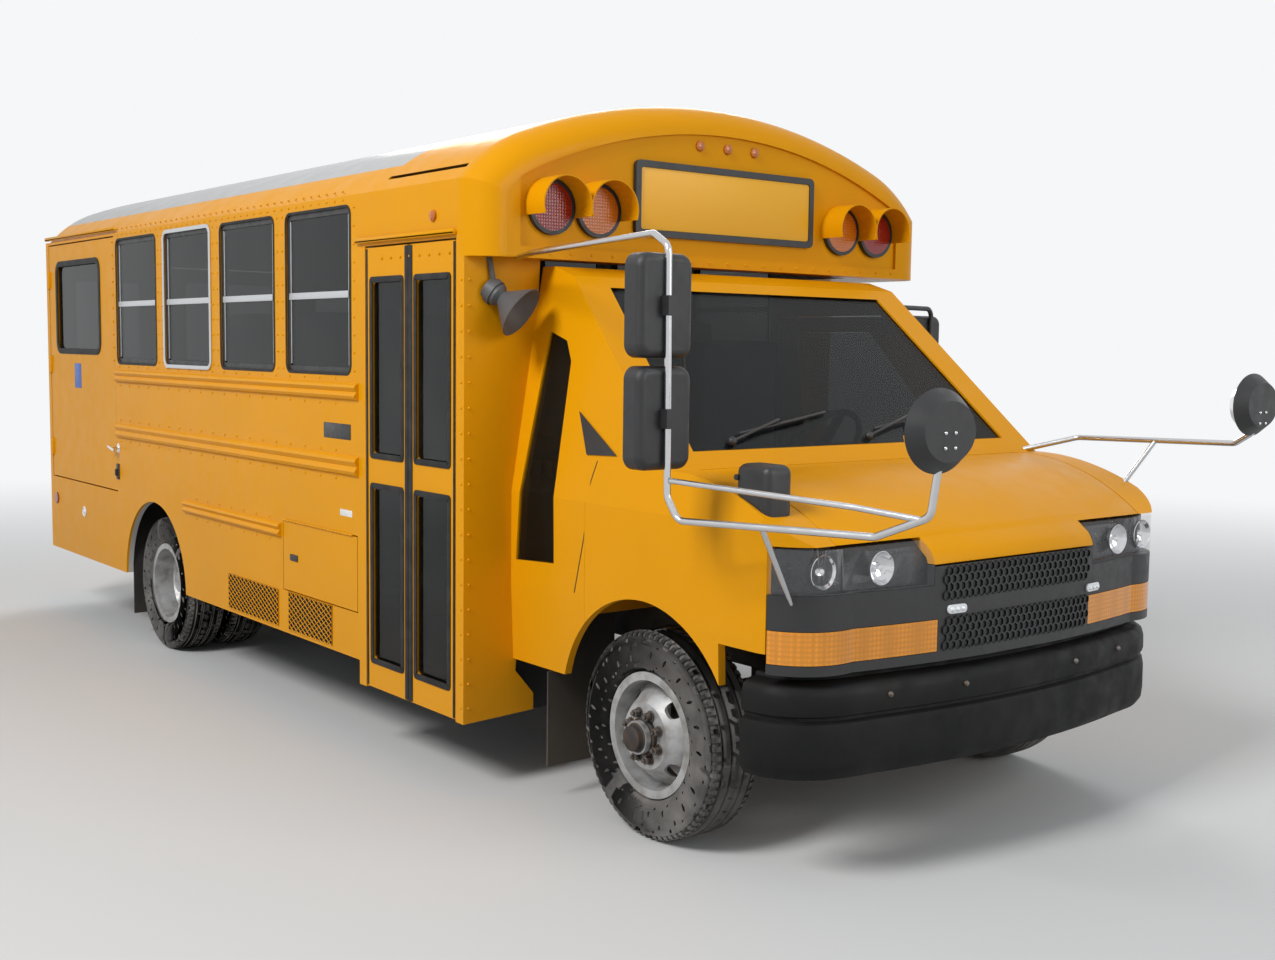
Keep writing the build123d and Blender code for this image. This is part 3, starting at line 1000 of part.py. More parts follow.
# ---- mirrors: bent stainless tube carries two flat mirrors and a cross-view mirror ----
TUBE_RADIUS = 11
THIN_TUBE_RADIUS = 9
TUBE_BEND = 40
RIGHT_BOW = (  # ahead of the front axle, y, z: cap, fender side, then out ahead of the bumper
    (-740, -1030, 2030), (-560, -1075, 2040), (330, -1236, 2052), (420, -1250, 2010), (430, -1250, 1250),
    (470, -1240, 1180), (1120, -1075, 1190), (1290, -1045, 1260), (1322, -1042, 1480))
RIGHT_LINK = ((444, -1249, 1300), (1060, -1095, 1268), (1262, -1050, 1250))  # the upper forward tube
RIGHT_BRACE = ((760, -1165, 1186), (655, -900, 860))  # down to the fender
LEFT_BOW = ((6, 850, 1270), (286, 1050, 1359), (969, 1050, 1375), (1040, 1046, 1420), (1050, 1042, 1520))
LEFT_BRACE = ((640, 1050, 1368), (460, 900, 1010))
DOOR_BOW = ((-500, 900, 1260), (-690, 1262, 1450), (-690, 1262, 1900), (-600, 760, 1900))
FLAT_MIRRORS = (  # ahead of the front axle, y, z, width, height
    (374, -1244, 1830, 212, 318), (374, -1244, 1488, 212, 318))
DOOR_MIRROR = (-738, 1244, 1733, 212, 270)
FLAT_MIRROR_DEPTH = 78
MIRROR_FACE_BORDER = 12
MIRROR_FACE_THICKNESS = 4
CROSS_MIRRORS = ((1350, -1045, 1492), (1075, 1045, 1522))  # front point: ahead of the front axle, y, z
CROSS_MIRROR_RADII = (136, 115)
CROSS_MIRROR_DEPTH = 42


def tube(points, radius):
    """A round bar along straight runs joined by tangent bends."""
    corners = [(FRONT_AXLE_X + x, y, z) for x, y, z in points]
    with BuildLine() as path:
        if len(corners) > 2:
            FilletPolyline(*corners, radius=TUBE_BEND)
        else:
            Line(*corners)
    with BuildPart() as bar:
        with BuildSketch(Plane(origin=path.line @ 0, z_dir=path.line % 0)):
            Circle(radius)
        sweep(path=path.line)
    return bar.part


def flat_mirror(x, y, z, width, height):
    """A moulded mirror housing, open at the back, whose reflecting side looks rearward."""
    with BuildPart() as housing:
        with BuildSketch(facing_plane(FRONT_AXLE_X + x - FLAT_MIRROR_DEPTH / 2, y, z, 1)):
            RectangleRounded(width, height, 42)
        extrude(amount=FLAT_MIRROR_DEPTH)
        fillet(housing.faces().sort_by(Axis.X)[-1].edges(), 26)
        with BuildSketch(facing_plane(FRONT_AXLE_X + x - FLAT_MIRROR_DEPTH / 2, y, z, 1)):
            RectangleRounded(width - 2 * MIRROR_FACE_BORDER, height - 2 * MIRROR_FACE_BORDER, 32)
        extrude(amount=MIRROR_FACE_THICKNESS + 2, mode=Mode.SUBTRACT)
    return housing.part


def mirror_face(x, y, z, width, height):
    """The reflecting plate that sits in a housing's rear recess."""
    with BuildPart() as face:
        with BuildSketch(facing_plane(FRONT_AXLE_X + x - FLAT_MIRROR_DEPTH / 2 + 2, y, z, 1)):
            RectangleRounded(width - 2 * MIRROR_FACE_BORDER - 1, height - 2 * MIRROR_FACE_BORDER - 1, 31)
        extrude(amount=MIRROR_FACE_THICKNESS)
    return face.part


def oval_dome(plane, inset, depth):
    """An oval cap that narrows away from the plane, for a cross-view mirror."""
    with BuildPart() as dome:
        for height, narrower in ((0, 0), (depth, depth * 0.8)):
            with BuildSketch(plane.offset(height)):
                Ellipse(CROSS_MIRROR_RADII[0] - inset - narrower, CROSS_MIRROR_RADII[1] - inset - narrower)
        loft()
    return dome.part


with BuildPart() as mirror_stands:
    for points, radius in ((RIGHT_BOW, TUBE_RADIUS), (RIGHT_LINK, THIN_TUBE_RADIUS), (RIGHT_BRACE, THIN_TUBE_RADIUS),
                           (LEFT_BOW, TUBE_RADIUS), (LEFT_BRACE, THIN_TUBE_RADIUS)):
        add(tube(points, radius))
    add(van_outer, mode=Mode.SUBTRACT)
    add(cap_form(0), mode=Mode.SUBTRACT)
save(mirror_stands, "mirror_stands")

with BuildPart() as mirror_housings:
    for mirror in FLAT_MIRRORS:
        add(flat_mirror(*mirror))
        block((FRONT_AXLE_X + mirror[0] + 30, FRONT_AXLE_X + 446), (-1268, -1232), (mirror[2] - 30, mirror[2] + 30))
    for x, y, z in CROSS_MIRRORS:
        add(oval_dome(facing_plane(FRONT_AXLE_X + x - CROSS_MIRROR_DEPTH, y, z, 1), 0, CROSS_MIRROR_DEPTH))
    add(mirror_stands.part, mode=Mode.SUBTRACT)
save(mirror_housings, "mirror_housings")

with BuildPart() as mirror_faces:
    for mirror in FLAT_MIRRORS:
        add(mirror_face(*mirror))
    for x, y, z in CROSS_MIRRORS:
        add(oval_dome(facing_plane(FRONT_AXLE_X + x - CROSS_MIRROR_DEPTH, y, z, -1), 6, 30))
    add(mirror_stands.part, mode=Mode.SUBTRACT)
save(mirror_faces, "mirror_faces")

with BuildPart() as driver_mirror:
    add(tube(DOOR_BOW, TUBE_RADIUS))
    add(van_outer, mode=Mode.SUBTRACT)
    add(flat_mirror(*DOOR_MIRROR))
    add(mirror_face(*DOOR_MIRROR))
    block((FRONT_AXLE_X + DOOR_MIRROR[0] + 30, FRONT_AXLE_X - 684), (1244, 1280), (1700, 1760))
save(driver_mirror, "driver_mirror")

# ---- horn loudspeaker on the bulkhead above the cab's right corner ----
HORN_REAR = (FRONT_AXLE_X - 806, -1114, 1919)
HORN_MOUTH = (FRONT_AXLE_X - 690, -1040, 1827)
HORN_RADIUS = 104
HORN_WALL = 5
DRIVER_RADIUS = 44
horn_axis = Vector(*HORN_MOUTH) - Vector(*HORN_REAR)
horn_length = horn_axis.length
with BuildPart() as horn_form:
    with BuildSketch(Plane.XZ):
        with BuildLine():
            Line((0, 0), (DRIVER_RADIUS, 0))
            Line((DRIVER_RADIUS, 0), (DRIVER_RADIUS, 60))
            Line((DRIVER_RADIUS, 60), (26, 72))
            ThreePointArc((26, 72), (48, horn_length - 36), (HORN_RADIUS, horn_length))
            Line((HORN_RADIUS, horn_length), (HORN_RADIUS - HORN_WALL, horn_length + 3))
            ThreePointArc((HORN_RADIUS - HORN_WALL, horn_length + 3), (42, horn_length - 30), (16, 84))
            Line((16, 84), (0, 84))
            Line((0, 84), (0, 0))
        make_face()
    revolve(axis=Axis.Z)
with BuildPart() as horn_speaker:
    add(horn_form.part.moved(Plane(origin=HORN_REAR, z_dir=horn_axis.normalized()).location))
    block((FRONT_AXLE_X - 1000, BODY_FRONT_X), (-1300, -900), (1700, 2100), mode=Mode.SUBTRACT)
save(horn_speaker, "horn_speaker")

# ======================= underbody =======================

FLAP_THICKNESS = 8
FLAP_BOTTOM_Z = 130
FRONT_FLAP_X = FRONT_AXLE_X - 562
REAR_FLAP_X = wheel_box_x[0] - 24
with BuildPart() as mudflaps:
    for side in (-1, 1):
        block((FRONT_FLAP_X, FRONT_FLAP_X + FLAP_THICKNESS), sorted((side * 690, side * 1000)), (FLAP_BOTTOM_Z, 492))
        block((FRONT_FLAP_X, FRONT_FLAP_X + FLAP_THICKNESS), sorted((side * 690, side * 920)), (490, CAB_FLOOR_Z - 20))
        block((REAR_FLAP_X, REAR_FLAP_X + FLAP_THICKNESS), sorted((side * 690, side * (FLOOR_HALF_WIDTH - 4))),
              (FLAP_BOTTOM_Z, FLOOR_TOP_Z - FLOOR_THICKNESS))
save(mudflaps, "mudflaps")

TANK_X = (FRONT_AXLE_X - 3000, FRONT_AXLE_X - 2000)
TANK_Y = (490, 1010)
TANK_Z = (400, 700)
with BuildPart() as fuel_tank:
    block(TANK_X, TANK_Y, TANK_Z)
    fillet(fuel_tank.edges().filter_by(Axis.X), 60)
    for x in (TANK_X[0] + 200, TANK_X[1] - 200):
        block((x - 20, x + 20), (RAIL_OUTER_Y, TANK_Y[0] + 5), (590, 640))
        block((x - 20, x + 20), (TANK_Y[0] + 80, TANK_Y[1] - 80), (TANK_Z[1] - 5, FLOOR_TOP_Z - FLOOR_THICKNESS))
save(fuel_tank, "fuel_tank")

EXHAUST_Y = -250
EXHAUST_Z = 490
PIPE_RADIUS = 30
MUFFLER_RADIUS = 75
MUFFLER_X = (FRONT_AXLE_X - 3050, FRONT_AXLE_X - 2350)
with BuildPart() as exhaust:
    add(tube(((-420, EXHAUST_Y, EXHAUST_Z), (-5640, EXHAUST_Y, EXHAUST_Z), (-5800, EXHAUST_Y, 340)), PIPE_RADIUS))
    with BuildSketch(Plane.YZ.offset(MUFFLER_X[0])):
        with Locations((EXHAUST_Y, EXHAUST_Z - 20)):
            Circle(MUFFLER_RADIUS)
    extrude(amount=MUFFLER_X[1] - MUFFLER_X[0])
    for x in (CROSSMEMBER_XS[2], CROSSMEMBER_XS[3], CROSSMEMBER_XS[4]):
        block((x - 15, x + 15), (EXHAUST_Y - 10, EXHAUST_Y + 10), (EXHAUST_Z + 10, RAIL_BOTTOM_Z + 30))
save(exhaust, "exhaust")

# ======================= inside =======================

DASH_PROFILE = ((60, 940), (60, 1235), (-120, 1280), (-330, 1292), (-400, 1220), (-385, 1040), (-300, 940))
DASH_HALF_WIDTH = cab_inside - 25
COLUMN_TILT = 35
DRIVER_Y = 430
STEERING_WHEEL_RADIUS = 195
STEERING_RIM_RADIUS = 14
STEERING_CENTRE = (FRONT_AXLE_X - 575, DRIVER_Y, 1290)
steering_plane = Plane(origin=STEERING_CENTRE, x_dir=(0, 1, 0),
                       z_dir=(-cos(radians(COLUMN_TILT)), 0, sin(radians(COLUMN_TILT))))
with BuildPart() as dashboard:
    add(side_region([(FRONT_AXLE_X + x, z) for x, z in DASH_PROFILE], -DASH_HALF_WIDTH, DASH_HALF_WIDTH))
    block((FRONT_AXLE_X - 520, COWL_X), (-326, 326), (900, 1134), mode=Mode.SUBTRACT)
    with BuildSketch(steering_plane.offset(-60)):
        Circle(38)
    extrude(amount=-190)
save(dashboard, "dashboard")

with BuildPart() as steering_wheel:
    with BuildSketch(steering_plane):
        Circle(46)
        for angle in (0, 180, 270):
            with PolarLocations(0, 1, start_angle=angle):
                with Locations((STEERING_WHEEL_RADIUS / 2, 0)):
                    Rectangle(STEERING_WHEEL_RADIUS, 34)
    extrude(amount=-26)
    with BuildSketch(steering_plane.offset(-26)):
        Circle(30)
    extrude(amount=-28)
    add(Solid.make_torus(STEERING_WHEEL_RADIUS, STEERING_RIM_RADIUS, steering_plane.offset(-13)))
save(steering_wheel, "steering_wheel")

# Bench seats: an upright steel frame with a padded cushion and a tall padded back.
BENCH_WIDTH = 860
BENCH_DEPTH = 400
BENCH_GAP = 30
BENCH_SEAT_Z = (1120, 1230)
BENCH_BACK_TOP_Z = 1850
BENCH_BACK_THICKNESS = 95
BENCH_TUBE = 26
BENCH_BACKS = (  # side, back face ahead of the front axle
    (-1, -2350), (-1, -3100), (1, -2100), (1, -2850), (1, -3600))
DRIVER_SEAT_X = FRONT_AXLE_X - 1080
DRIVER_SEAT_WIDTH = 480


def bench_span(side):
    """The y range of a bench on one side."""
    wall_end = side * (FLOOR_HALF_WIDTH - BENCH_GAP)
    return sorted((wall_end, wall_end - side * BENCH_WIDTH))


with BuildPart() as seat_frames:
    for side, back in BENCH_BACKS:
        back_x = FRONT_AXLE_X + back
        span = bench_span(side)
        for y in (span[0] + 90, span[1] - 90):
            for x in (back_x + 30, back_x + BENCH_DEPTH - 30):
                block((x - BENCH_TUBE / 2, x + BENCH_TUBE / 2), (y - BENCH_TUBE / 2, y + BENCH_TUBE / 2),
                      (FLOOR_TOP_Z, BENCH_SEAT_Z[0]))
            block((back_x + 30, back_x + BENCH_DEPTH - 30), (y - BENCH_TUBE / 2, y + BENCH_TUBE / 2),
                  (BENCH_SEAT_Z[0] - BENCH_TUBE, BENCH_SEAT_Z[0]))
    block((DRIVER_SEAT_X + 100, DRIVER_SEAT_X + 400), (DRIVER_Y - 150, DRIVER_Y + 150), (CAB_FLOOR_Z, 960))
save(seat_frames, "seat_frames")

with BuildPart() as seat_cushions:
    for side, back in BENCH_BACKS:
        back_x = FRONT_AXLE_X + back
        span = bench_span(side)
        block((back_x + 4, back_x + BENCH_DEPTH), span, BENCH_SEAT_Z)
        block((back_x - BENCH_BACK_THICKNESS, back_x), span, (BENCH_SEAT_Z[0], BENCH_BACK_TOP_Z))
    driver_span = (DRIVER_Y - DRIVER_SEAT_WIDTH / 2, DRIVER_Y + DRIVER_SEAT_WIDTH / 2)
    block((DRIVER_SEAT_X + 4, DRIVER_SEAT_X + 480), driver_span, (960, 1090))
    block((DRIVER_SEAT_X - 130, DRIVER_SEAT_X), driver_span, (960, 1740))
save(seat_cushions, "seat_cushions")
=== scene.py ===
# %% [markdown]
# # Finishing a short school bus
# The frame holds every rigid piece of the bus at its real size. This lesson adds what a
# maker would add last: paint and other finishes, tyre tread, lamp optics, rubber seals,
# hinges and latches, rivets, padded seats and a plain studio. Each step says what the
# piece is on the real bus and why it is modelled the way it is.

# %% Load the frame
from contextlib import contextmanager
from math import atan2, cos, pi, radians, sin
import bpy
from mathutils import Matrix, Vector


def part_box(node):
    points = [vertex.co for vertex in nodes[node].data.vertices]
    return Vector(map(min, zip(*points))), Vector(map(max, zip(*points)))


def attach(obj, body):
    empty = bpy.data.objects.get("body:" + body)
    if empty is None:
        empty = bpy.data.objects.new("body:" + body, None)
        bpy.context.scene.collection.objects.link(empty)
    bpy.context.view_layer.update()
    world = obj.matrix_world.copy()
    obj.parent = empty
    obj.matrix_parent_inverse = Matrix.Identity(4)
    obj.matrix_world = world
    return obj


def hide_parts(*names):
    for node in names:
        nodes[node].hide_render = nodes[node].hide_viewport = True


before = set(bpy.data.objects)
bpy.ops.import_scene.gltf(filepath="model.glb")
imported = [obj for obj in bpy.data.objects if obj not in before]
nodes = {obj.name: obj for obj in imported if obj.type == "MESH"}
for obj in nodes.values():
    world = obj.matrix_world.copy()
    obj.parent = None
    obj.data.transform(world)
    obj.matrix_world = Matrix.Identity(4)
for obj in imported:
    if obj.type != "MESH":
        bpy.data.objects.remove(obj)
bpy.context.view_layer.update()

bpy.ops.object.select_all(action="DESELECT")

# %% [markdown]
# ## Driving positions
# Stations are measured along the bus from the front axle, as a body builder does. The
# frame gives the axle and the side, so nothing here drifts if the bus is repacked.

# %% Stations and faces
SIDES = (("right", -1), ("left", 1))
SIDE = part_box("bulkhead")[1][1]
REAR_X = -3.598  # the outer face of the rear wall


def middle_of(node_name):
    """The middle of the box round a piece of the frame."""
    low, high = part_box(node_name)
    return [(a + b) / 2 for a, b in zip(low, high)]


FRONT_AXLE = middle_of("front_tyre_left")[0]


def along(distance):
    """The x of a station: distance ahead of the front axle, in metres."""
    return FRONT_AXLE + distance


print("front axle at", round(FRONT_AXLE, 3), "body side at", SIDE)

# %% [markdown]
# ## The camera
# The view is from the front right corner at eye height, with a long normal lens. The
# angles are the ones set on a tripod: heading, tilt and roll.

# %% Camera
EYE = Vector((6.1164, -4.0546, 1.7022))
HEADING = 2.472
TILT_DOWN = 0.091
ROLL = 0.013
IMAGE_WIDTH = 1275
FOCAL_PIXELS = 1450.5

look = Vector((cos(HEADING) * cos(TILT_DOWN), sin(HEADING) * cos(TILT_DOWN), -sin(TILT_DOWN)))
level_right = Vector((sin(HEADING), -cos(HEADING), 0))
level_up = level_right.cross(look)
right = cos(ROLL) * level_right + sin(ROLL) * level_up
up = cos(ROLL) * level_up - sin(ROLL) * level_right
camera_data = bpy.data.cameras.new("camera")
camera_data.sensor_width = 36
camera_data.lens = FOCAL_PIXELS / IMAGE_WIDTH * camera_data.sensor_width
camera_data.clip_end = 200
camera = bpy.data.objects.new("camera", camera_data)
bpy.context.collection.objects.link(camera)
turn = Matrix((right, up, -look)).transposed()
camera.matrix_world = Matrix.Translation(EYE) @ turn.to_4x4()
bpy.context.scene.camera = camera
print("lens", round(camera_data.lens, 2), "mm")

# %% [markdown]
# ## The studio
# A pale floor takes the shadow, and a soft sky with one large lamp high on the right
# lights the side that faces the camera. The sky and the far floor are white only to the
# eye and to what mirrors them, so they add no light and the paint isn't washed out.

# %% Floor, sky and lamps
bpy.context.scene.view_settings.view_transform = "Standard"
STUDIO_WHITE = (0.92, 0.93, 0.94, 1)
FADE_STARTS, FADE_ENDS = 4.5, 13.0  # metres from the middle of the floor
LAMP_TARGET = Vector((0, 0, 1.2))


def add_node(tree, kind, values=(), sources=(), **settings):
    """A shader node with its settings, the values on its sockets and the links into them."""
    node = tree.nodes.new("ShaderNode" + kind)
    for name, setting in settings.items():
        setattr(node, name, setting)
    for socket, value in dict(values).items():
        node.inputs[socket].default_value = value
    for socket, source in dict(sources).items():
        tree.links.new(source, node.inputs[socket])
    return node


def seen_directly(tree):
    """1 for the camera's rays and for rays that mirror or pass through to it, 0 for light."""
    path_kind = add_node(tree, "LightPath")
    total = path_kind.outputs["Is Camera Ray"]
    for ray in ("Is Glossy Ray", "Is Transmission Ray"):
        either = {0: total, 1: path_kind.outputs[ray]}
        total = add_node(tree, "Math", sources=either, operation="MAXIMUM").outputs[0]
    return total


bpy.ops.mesh.primitive_plane_add(size=120, location=(0, 0, 0))
floor = bpy.context.object
floor.name = "studio_floor"
floor_finish = bpy.data.materials.new("studio_floor")
floor_finish.use_nodes = True
floor_tree = floor_finish.node_tree
floor_bsdf = floor_tree.nodes["Principled BSDF"]
floor_bsdf.inputs["Base Color"].default_value = (0.62, 0.62, 0.61, 1)
floor_bsdf.inputs["Roughness"].default_value = 0.9
floor_place = add_node(floor_tree, "TexCoord")
reach = add_node(floor_tree, "VectorMath", sources={0: floor_place.outputs["Object"]}, operation="LENGTH")
fade = add_node(floor_tree, "MapRange", {"From Min": FADE_STARTS, "From Max": FADE_ENDS},
                {"Value": reach.outputs["Value"]}, interpolation_type="SMOOTHSTEP")
share = add_node(floor_tree, "Math", sources={0: fade.outputs["Result"], 1: seen_directly(floor_tree)},
                 operation="MULTIPLY")
glow = add_node(floor_tree, "Emission", {"Color": STUDIO_WHITE})
floor_mix = add_node(floor_tree, "MixShader",
                     sources={"Fac": share.outputs[0], 1: floor_bsdf.outputs[0], 2: glow.outputs[0]})
floor_tree.links.new(floor_mix.outputs[0], floor_tree.nodes["Material Output"].inputs["Surface"])
floor.data.materials.append(floor_finish)

world = bpy.data.worlds.new("studio_sky")
bpy.context.scene.world = world
world.use_nodes = True
sky = world.node_tree
background = sky.nodes["Background"]
background.inputs["Color"].default_value = (0.78, 0.82, 0.88, 1)
background.inputs["Strength"].default_value = 0.42
white_sky = add_node(sky, "Background", {"Color": STUDIO_WHITE, "Strength": 1.0})
sky_mix = add_node(sky, "MixShader",
                   sources={"Fac": seen_directly(sky), 1: background.outputs[0], 2: white_sky.outputs[0]})
sky.links.new(sky_mix.outputs[0], sky.nodes["World Output"].inputs["Surface"])

LAMPS = (  # name, place, watts, width of the soft box
    ("key_lamp", (3.0, -9.0, 8.5), 1000, 3.5),
    ("front_lamp", (11.0, 2.5, 5.0), 330, 5.0),
    ("back_lamp", (-9.0, 7.0, 7.0), 700, 6.0),
)
for lamp_name, place, watts, width in LAMPS:
    lamp_data = bpy.data.lights.new(lamp_name, "AREA")
    lamp_data.energy = watts
    lamp_data.size = width
    lamp = bpy.data.objects.new(lamp_name, lamp_data)
    lamp.location = place
    lamp.rotation_euler = (LAMP_TARGET - Vector(place)).to_track_quat("-Z", "Y").to_euler()
    bpy.context.collection.objects.link(lamp)
print("lamps", len(LAMPS))

# %% [markdown]
# ## Finishes
# Every finish starts from one shader with its plain values set on it. Colour variation,
# grime and fine texture come from noise in object coordinates, which are metres here, so
# a scale of 200 gives specks of about 5 mm whatever piece wears the finish.

# %% Helpers for finishes


def finish(name, colour, roughness, metallic=0.0, coat=0.0, specular=0.5):
    """A new material with its plain values set on the shader itself."""
    material = bpy.data.materials.new(name)
    material.use_nodes = True
    bsdf = material.node_tree.nodes["Principled BSDF"]
    for socket, value in (("Base Color", (*colour, 1)), ("Roughness", roughness), ("Metallic", metallic),
                          ("Coat Weight", coat), ("Coat Roughness", 0.05), ("Specular IOR Level", specular)):
        bsdf.inputs[socket].default_value = value
    return material


def noise(material, scale, detail=4.0, stretch=(1, 1, 1)):
    """A noise value in object coordinates, stretched along the axes."""
    tree = material.node_tree
    place = add_node(tree, "TexCoord")
    mapping = add_node(tree, "Mapping", {"Scale": stretch}, {"Vector": place.outputs["Object"]})
    values = {"Scale": scale, "Detail": detail}
    return add_node(tree, "TexNoise", values, {"Vector": mapping.outputs["Vector"]}).outputs["Fac"]


def cells(material, scale, **values):
    """The distance from the middles of many small cells, in object coordinates."""
    tree = material.node_tree
    place = add_node(tree, "TexCoord")
    pattern = add_node(tree, "TexVoronoi", {"Scale": scale, **values}, {"Vector": place.outputs["Object"]})
    return pattern.outputs["Distance"]


def spread(material, value, low, high, out_low=0.0, out_high=1.0):
    """Maps a value from one range to another, clamped."""
    ends = {"From Min": low, "From Max": high, "To Min": out_low, "To Max": out_high}
    return add_node(material.node_tree, "MapRange", ends, {"Value": value}).outputs["Result"]


def blend_colour(material, factor, colour):
    """Mixes another colour into the base colour by a factor."""
    tree = material.node_tree
    base = tree.nodes["Principled BSDF"].inputs["Base Color"]
    mix = add_node(tree, "Mix", {"B": (*colour, 1)}, {"Factor": factor}, data_type="RGBA")
    if base.is_linked:
        tree.links.new(base.links[0].from_socket, mix.inputs["A"])
    else:
        mix.inputs["A"].default_value = base.default_value[:]
    tree.links.new(mix.outputs["Result"], base)


def roughen(material, value, low, high):
    """Drives roughness between two values by a pattern."""
    tree = material.node_tree
    roughness = tree.nodes["Principled BSDF"].inputs["Roughness"]
    tree.links.new(spread(material, value, 0.3, 0.7, low, high), roughness)


def bump(material, value, depth):
    """Adds a bump of a real depth in metres."""
    tree = material.node_tree
    relief = add_node(tree, "Bump", {"Distance": depth, "Strength": 1.0}, {"Height": value})
    normal = tree.nodes["Principled BSDF"].inputs["Normal"]
    if normal.is_linked:
        tree.links.new(normal.links[0].from_socket, relief.inputs["Normal"])
    tree.links.new(relief.outputs["Normal"], normal)


def worn(name, colour, roughness, patches=None, gloss=None, grain=None, **kind):
    """A finish with patches of a second colour, an uneven gloss and a fine grain.

    patches: noise scale, detail, where they start and end, the most of them, their colour.
    gloss: noise scale, detail, lowest and highest roughness. grain: noise scale, detail, depth.
    """
    material = finish(name, colour, roughness, **kind)
    if patches:
        scale, detail, low, high, most, other_colour = patches
        pattern = noise(material, scale, detail)
        blend_colour(material, spread(material, pattern, low, high, 0.0, most), other_colour)
    if gloss:
        scale, detail, low, high = gloss
        roughen(material, noise(material, scale, detail), low, high)
    if grain:
        scale, detail, depth = grain
        bump(material, noise(material, scale, detail), depth)
    return material


def coordinate(material, axis):
    """One object coordinate as a value: 0 is x, 1 is y, 2 is z."""
    tree = material.node_tree
    place = add_node(tree, "TexCoord")
    return add_node(tree, "SeparateXYZ", sources={"Vector": place.outputs["Object"]}).outputs[axis]


print("finish helpers ready")

# %% [markdown]
# ## Body paint
# School bus yellow is a warm gloss enamel. It is brightest high up, and road dust dulls
# it towards the skirt, so one mask runs down the sides. Inside the body the same sheets
# are painted pale grey, which a mask on the distance from the centreline gives.

# %% Yellow and white paint
YELLOW = (0.71, 0.300, 0.001)
DUST = (0.36, 0.29, 0.20)
LINING_GREY = (0.48, 0.48, 0.46)
WALL_INNER = SIDE - 0.012
WHITE_EDGE_Z = 2.425


def dusty(material, strength, top=0.95):
    """Road dust that fades out with height and breaks up in patches."""
    tree = material.node_tree
    height = spread(material, coordinate(material, 2), 0.25, top, 1.0, 0.0)
    patches = spread(material, noise(material, 1.4, 6.0), 0.25, 0.95)
    mask = add_node(tree, "Math", sources={0: height, 1: patches}, operation="MULTIPLY").outputs[0]
    mask = add_node(tree, "Math", {1: strength}, {0: mask}, operation="MULTIPLY").outputs[0]
    blend_colour(material, mask, DUST)


def gloss_paint(name, colour, dust=0.12):
    """Gloss enamel with a slight ripple, faint colour variation and dust low down."""
    shade = tuple(c * 0.90 for c in colour)
    material = worn(name, colour, 0.36, patches=(1.6, 5.0, 0.35, 0.8, 0.5, shade), coat=0.04, specular=0.09)
    dusty(material, dust)
    roughen(material, noise(material, 9.0, 6.0), 0.30, 0.44)
    bump(material, noise(material, 9.0, 1.0), 0.00025)
    return material


yellow_paint = gloss_paint("yellow_paint", YELLOW)
lined_yellow = gloss_paint("lined_yellow_paint", YELLOW)
out_from_centre = add_node(lined_yellow.node_tree, "Math", sources={0: coordinate(lined_yellow, 1)},
                           operation="ABSOLUTE").outputs[0]
inside = spread(lined_yellow, out_from_centre, WALL_INNER - 0.002, WALL_INNER, 1.0, 0.0)
blend_colour(lined_yellow, inside, LINING_GREY)
white_paint = gloss_paint("white_paint", (0.44, 0.44, 0.435), dust=0.0)
below_edge = spread(white_paint, coordinate(white_paint, 2), WHITE_EDGE_Z, WHITE_EDGE_Z + 0.001, 1.0, 0.0)
blend_colour(white_paint, below_edge, YELLOW)
red_paint = gloss_paint("red_paint", (0.55, 0.012, 0.012), dust=0.1)
print("paints ready")

# %% [markdown]
# ## Rubber, plastics, metals and glass
# Plastics take a fine moulded grain, rubber a dull uneven one, and metals show their
# wear in roughness. Tinted glass keeps its own darkness face on and turns to a mirror at
# a low angle, so its opacity follows the angle to its surface.

# %% Dark finishes
tyre_rubber = worn("tyre_rubber", (0.072, 0.068, 0.065), 0.82,
                   patches=(9.0, 8.0, 0.35, 0.75, 0.75, (0.23, 0.215, 0.20)),
                   grain=(260.0, 3.0, 0.0006), specular=0.3)
seal_rubber = worn("seal_rubber", (0.012, 0.012, 0.012), 0.65,
                   patches=(14.0, 6.0, 0.4, 0.8, 0.5, (0.06, 0.055, 0.05)),
                   grain=(180.0, 4.0, 0.0003), specular=0.3)
flap_rubber = finish("flap_rubber", (0.022, 0.021, 0.020), 0.75, specular=0.3)
dusty(flap_rubber, 0.3, top=0.75)
bump(flap_rubber, noise(flap_rubber, 60.0), 0.001)
black_plastic = worn("black_plastic", (0.016, 0.016, 0.017), 0.42, gloss=(22.0, 6.0, 0.34, 0.56),
                     grain=(700.0, 2.0, 0.0004))
bumper_plastic = worn("bumper_plastic", (0.007, 0.007, 0.007), 0.60,
                      patches=(4.0, 8.0, 0.4, 0.8, 0.30, (0.028, 0.026, 0.023)),
                      gloss=(12.0, 6.0, 0.42, 0.70), grain=(450.0, 2.0, 0.0008), specular=0.16)
grey_plastic = worn("grey_plastic", (0.16, 0.16, 0.165), 0.6, grain=(500.0, 2.0, 0.0006))
# painted shade: this near-black finish backs the skirt vents and stands for the shade in their openings
vent_shade_black = worn("vent_shade_black", (0.010, 0.010, 0.010), 0.8, gloss=(30.0, 4.0, 0.7, 0.9), specular=0.2)
frame_black = worn("frame_black", (0.018, 0.018, 0.018), 0.5,
                   patches=(6.0, 8.0, 0.35, 0.7, 0.8, (0.09, 0.075, 0.06)), grain=(90.0, 4.0, 0.0008))
cast_metal = worn("cast_metal", (0.05, 0.045, 0.042), 0.7,
                  patches=(18.0, 8.0, 0.42, 0.62, 1.0, (0.085, 0.060, 0.045)),
                  grain=(140.0, 4.0, 0.001), metallic=0.6)
print("dark finishes ready")

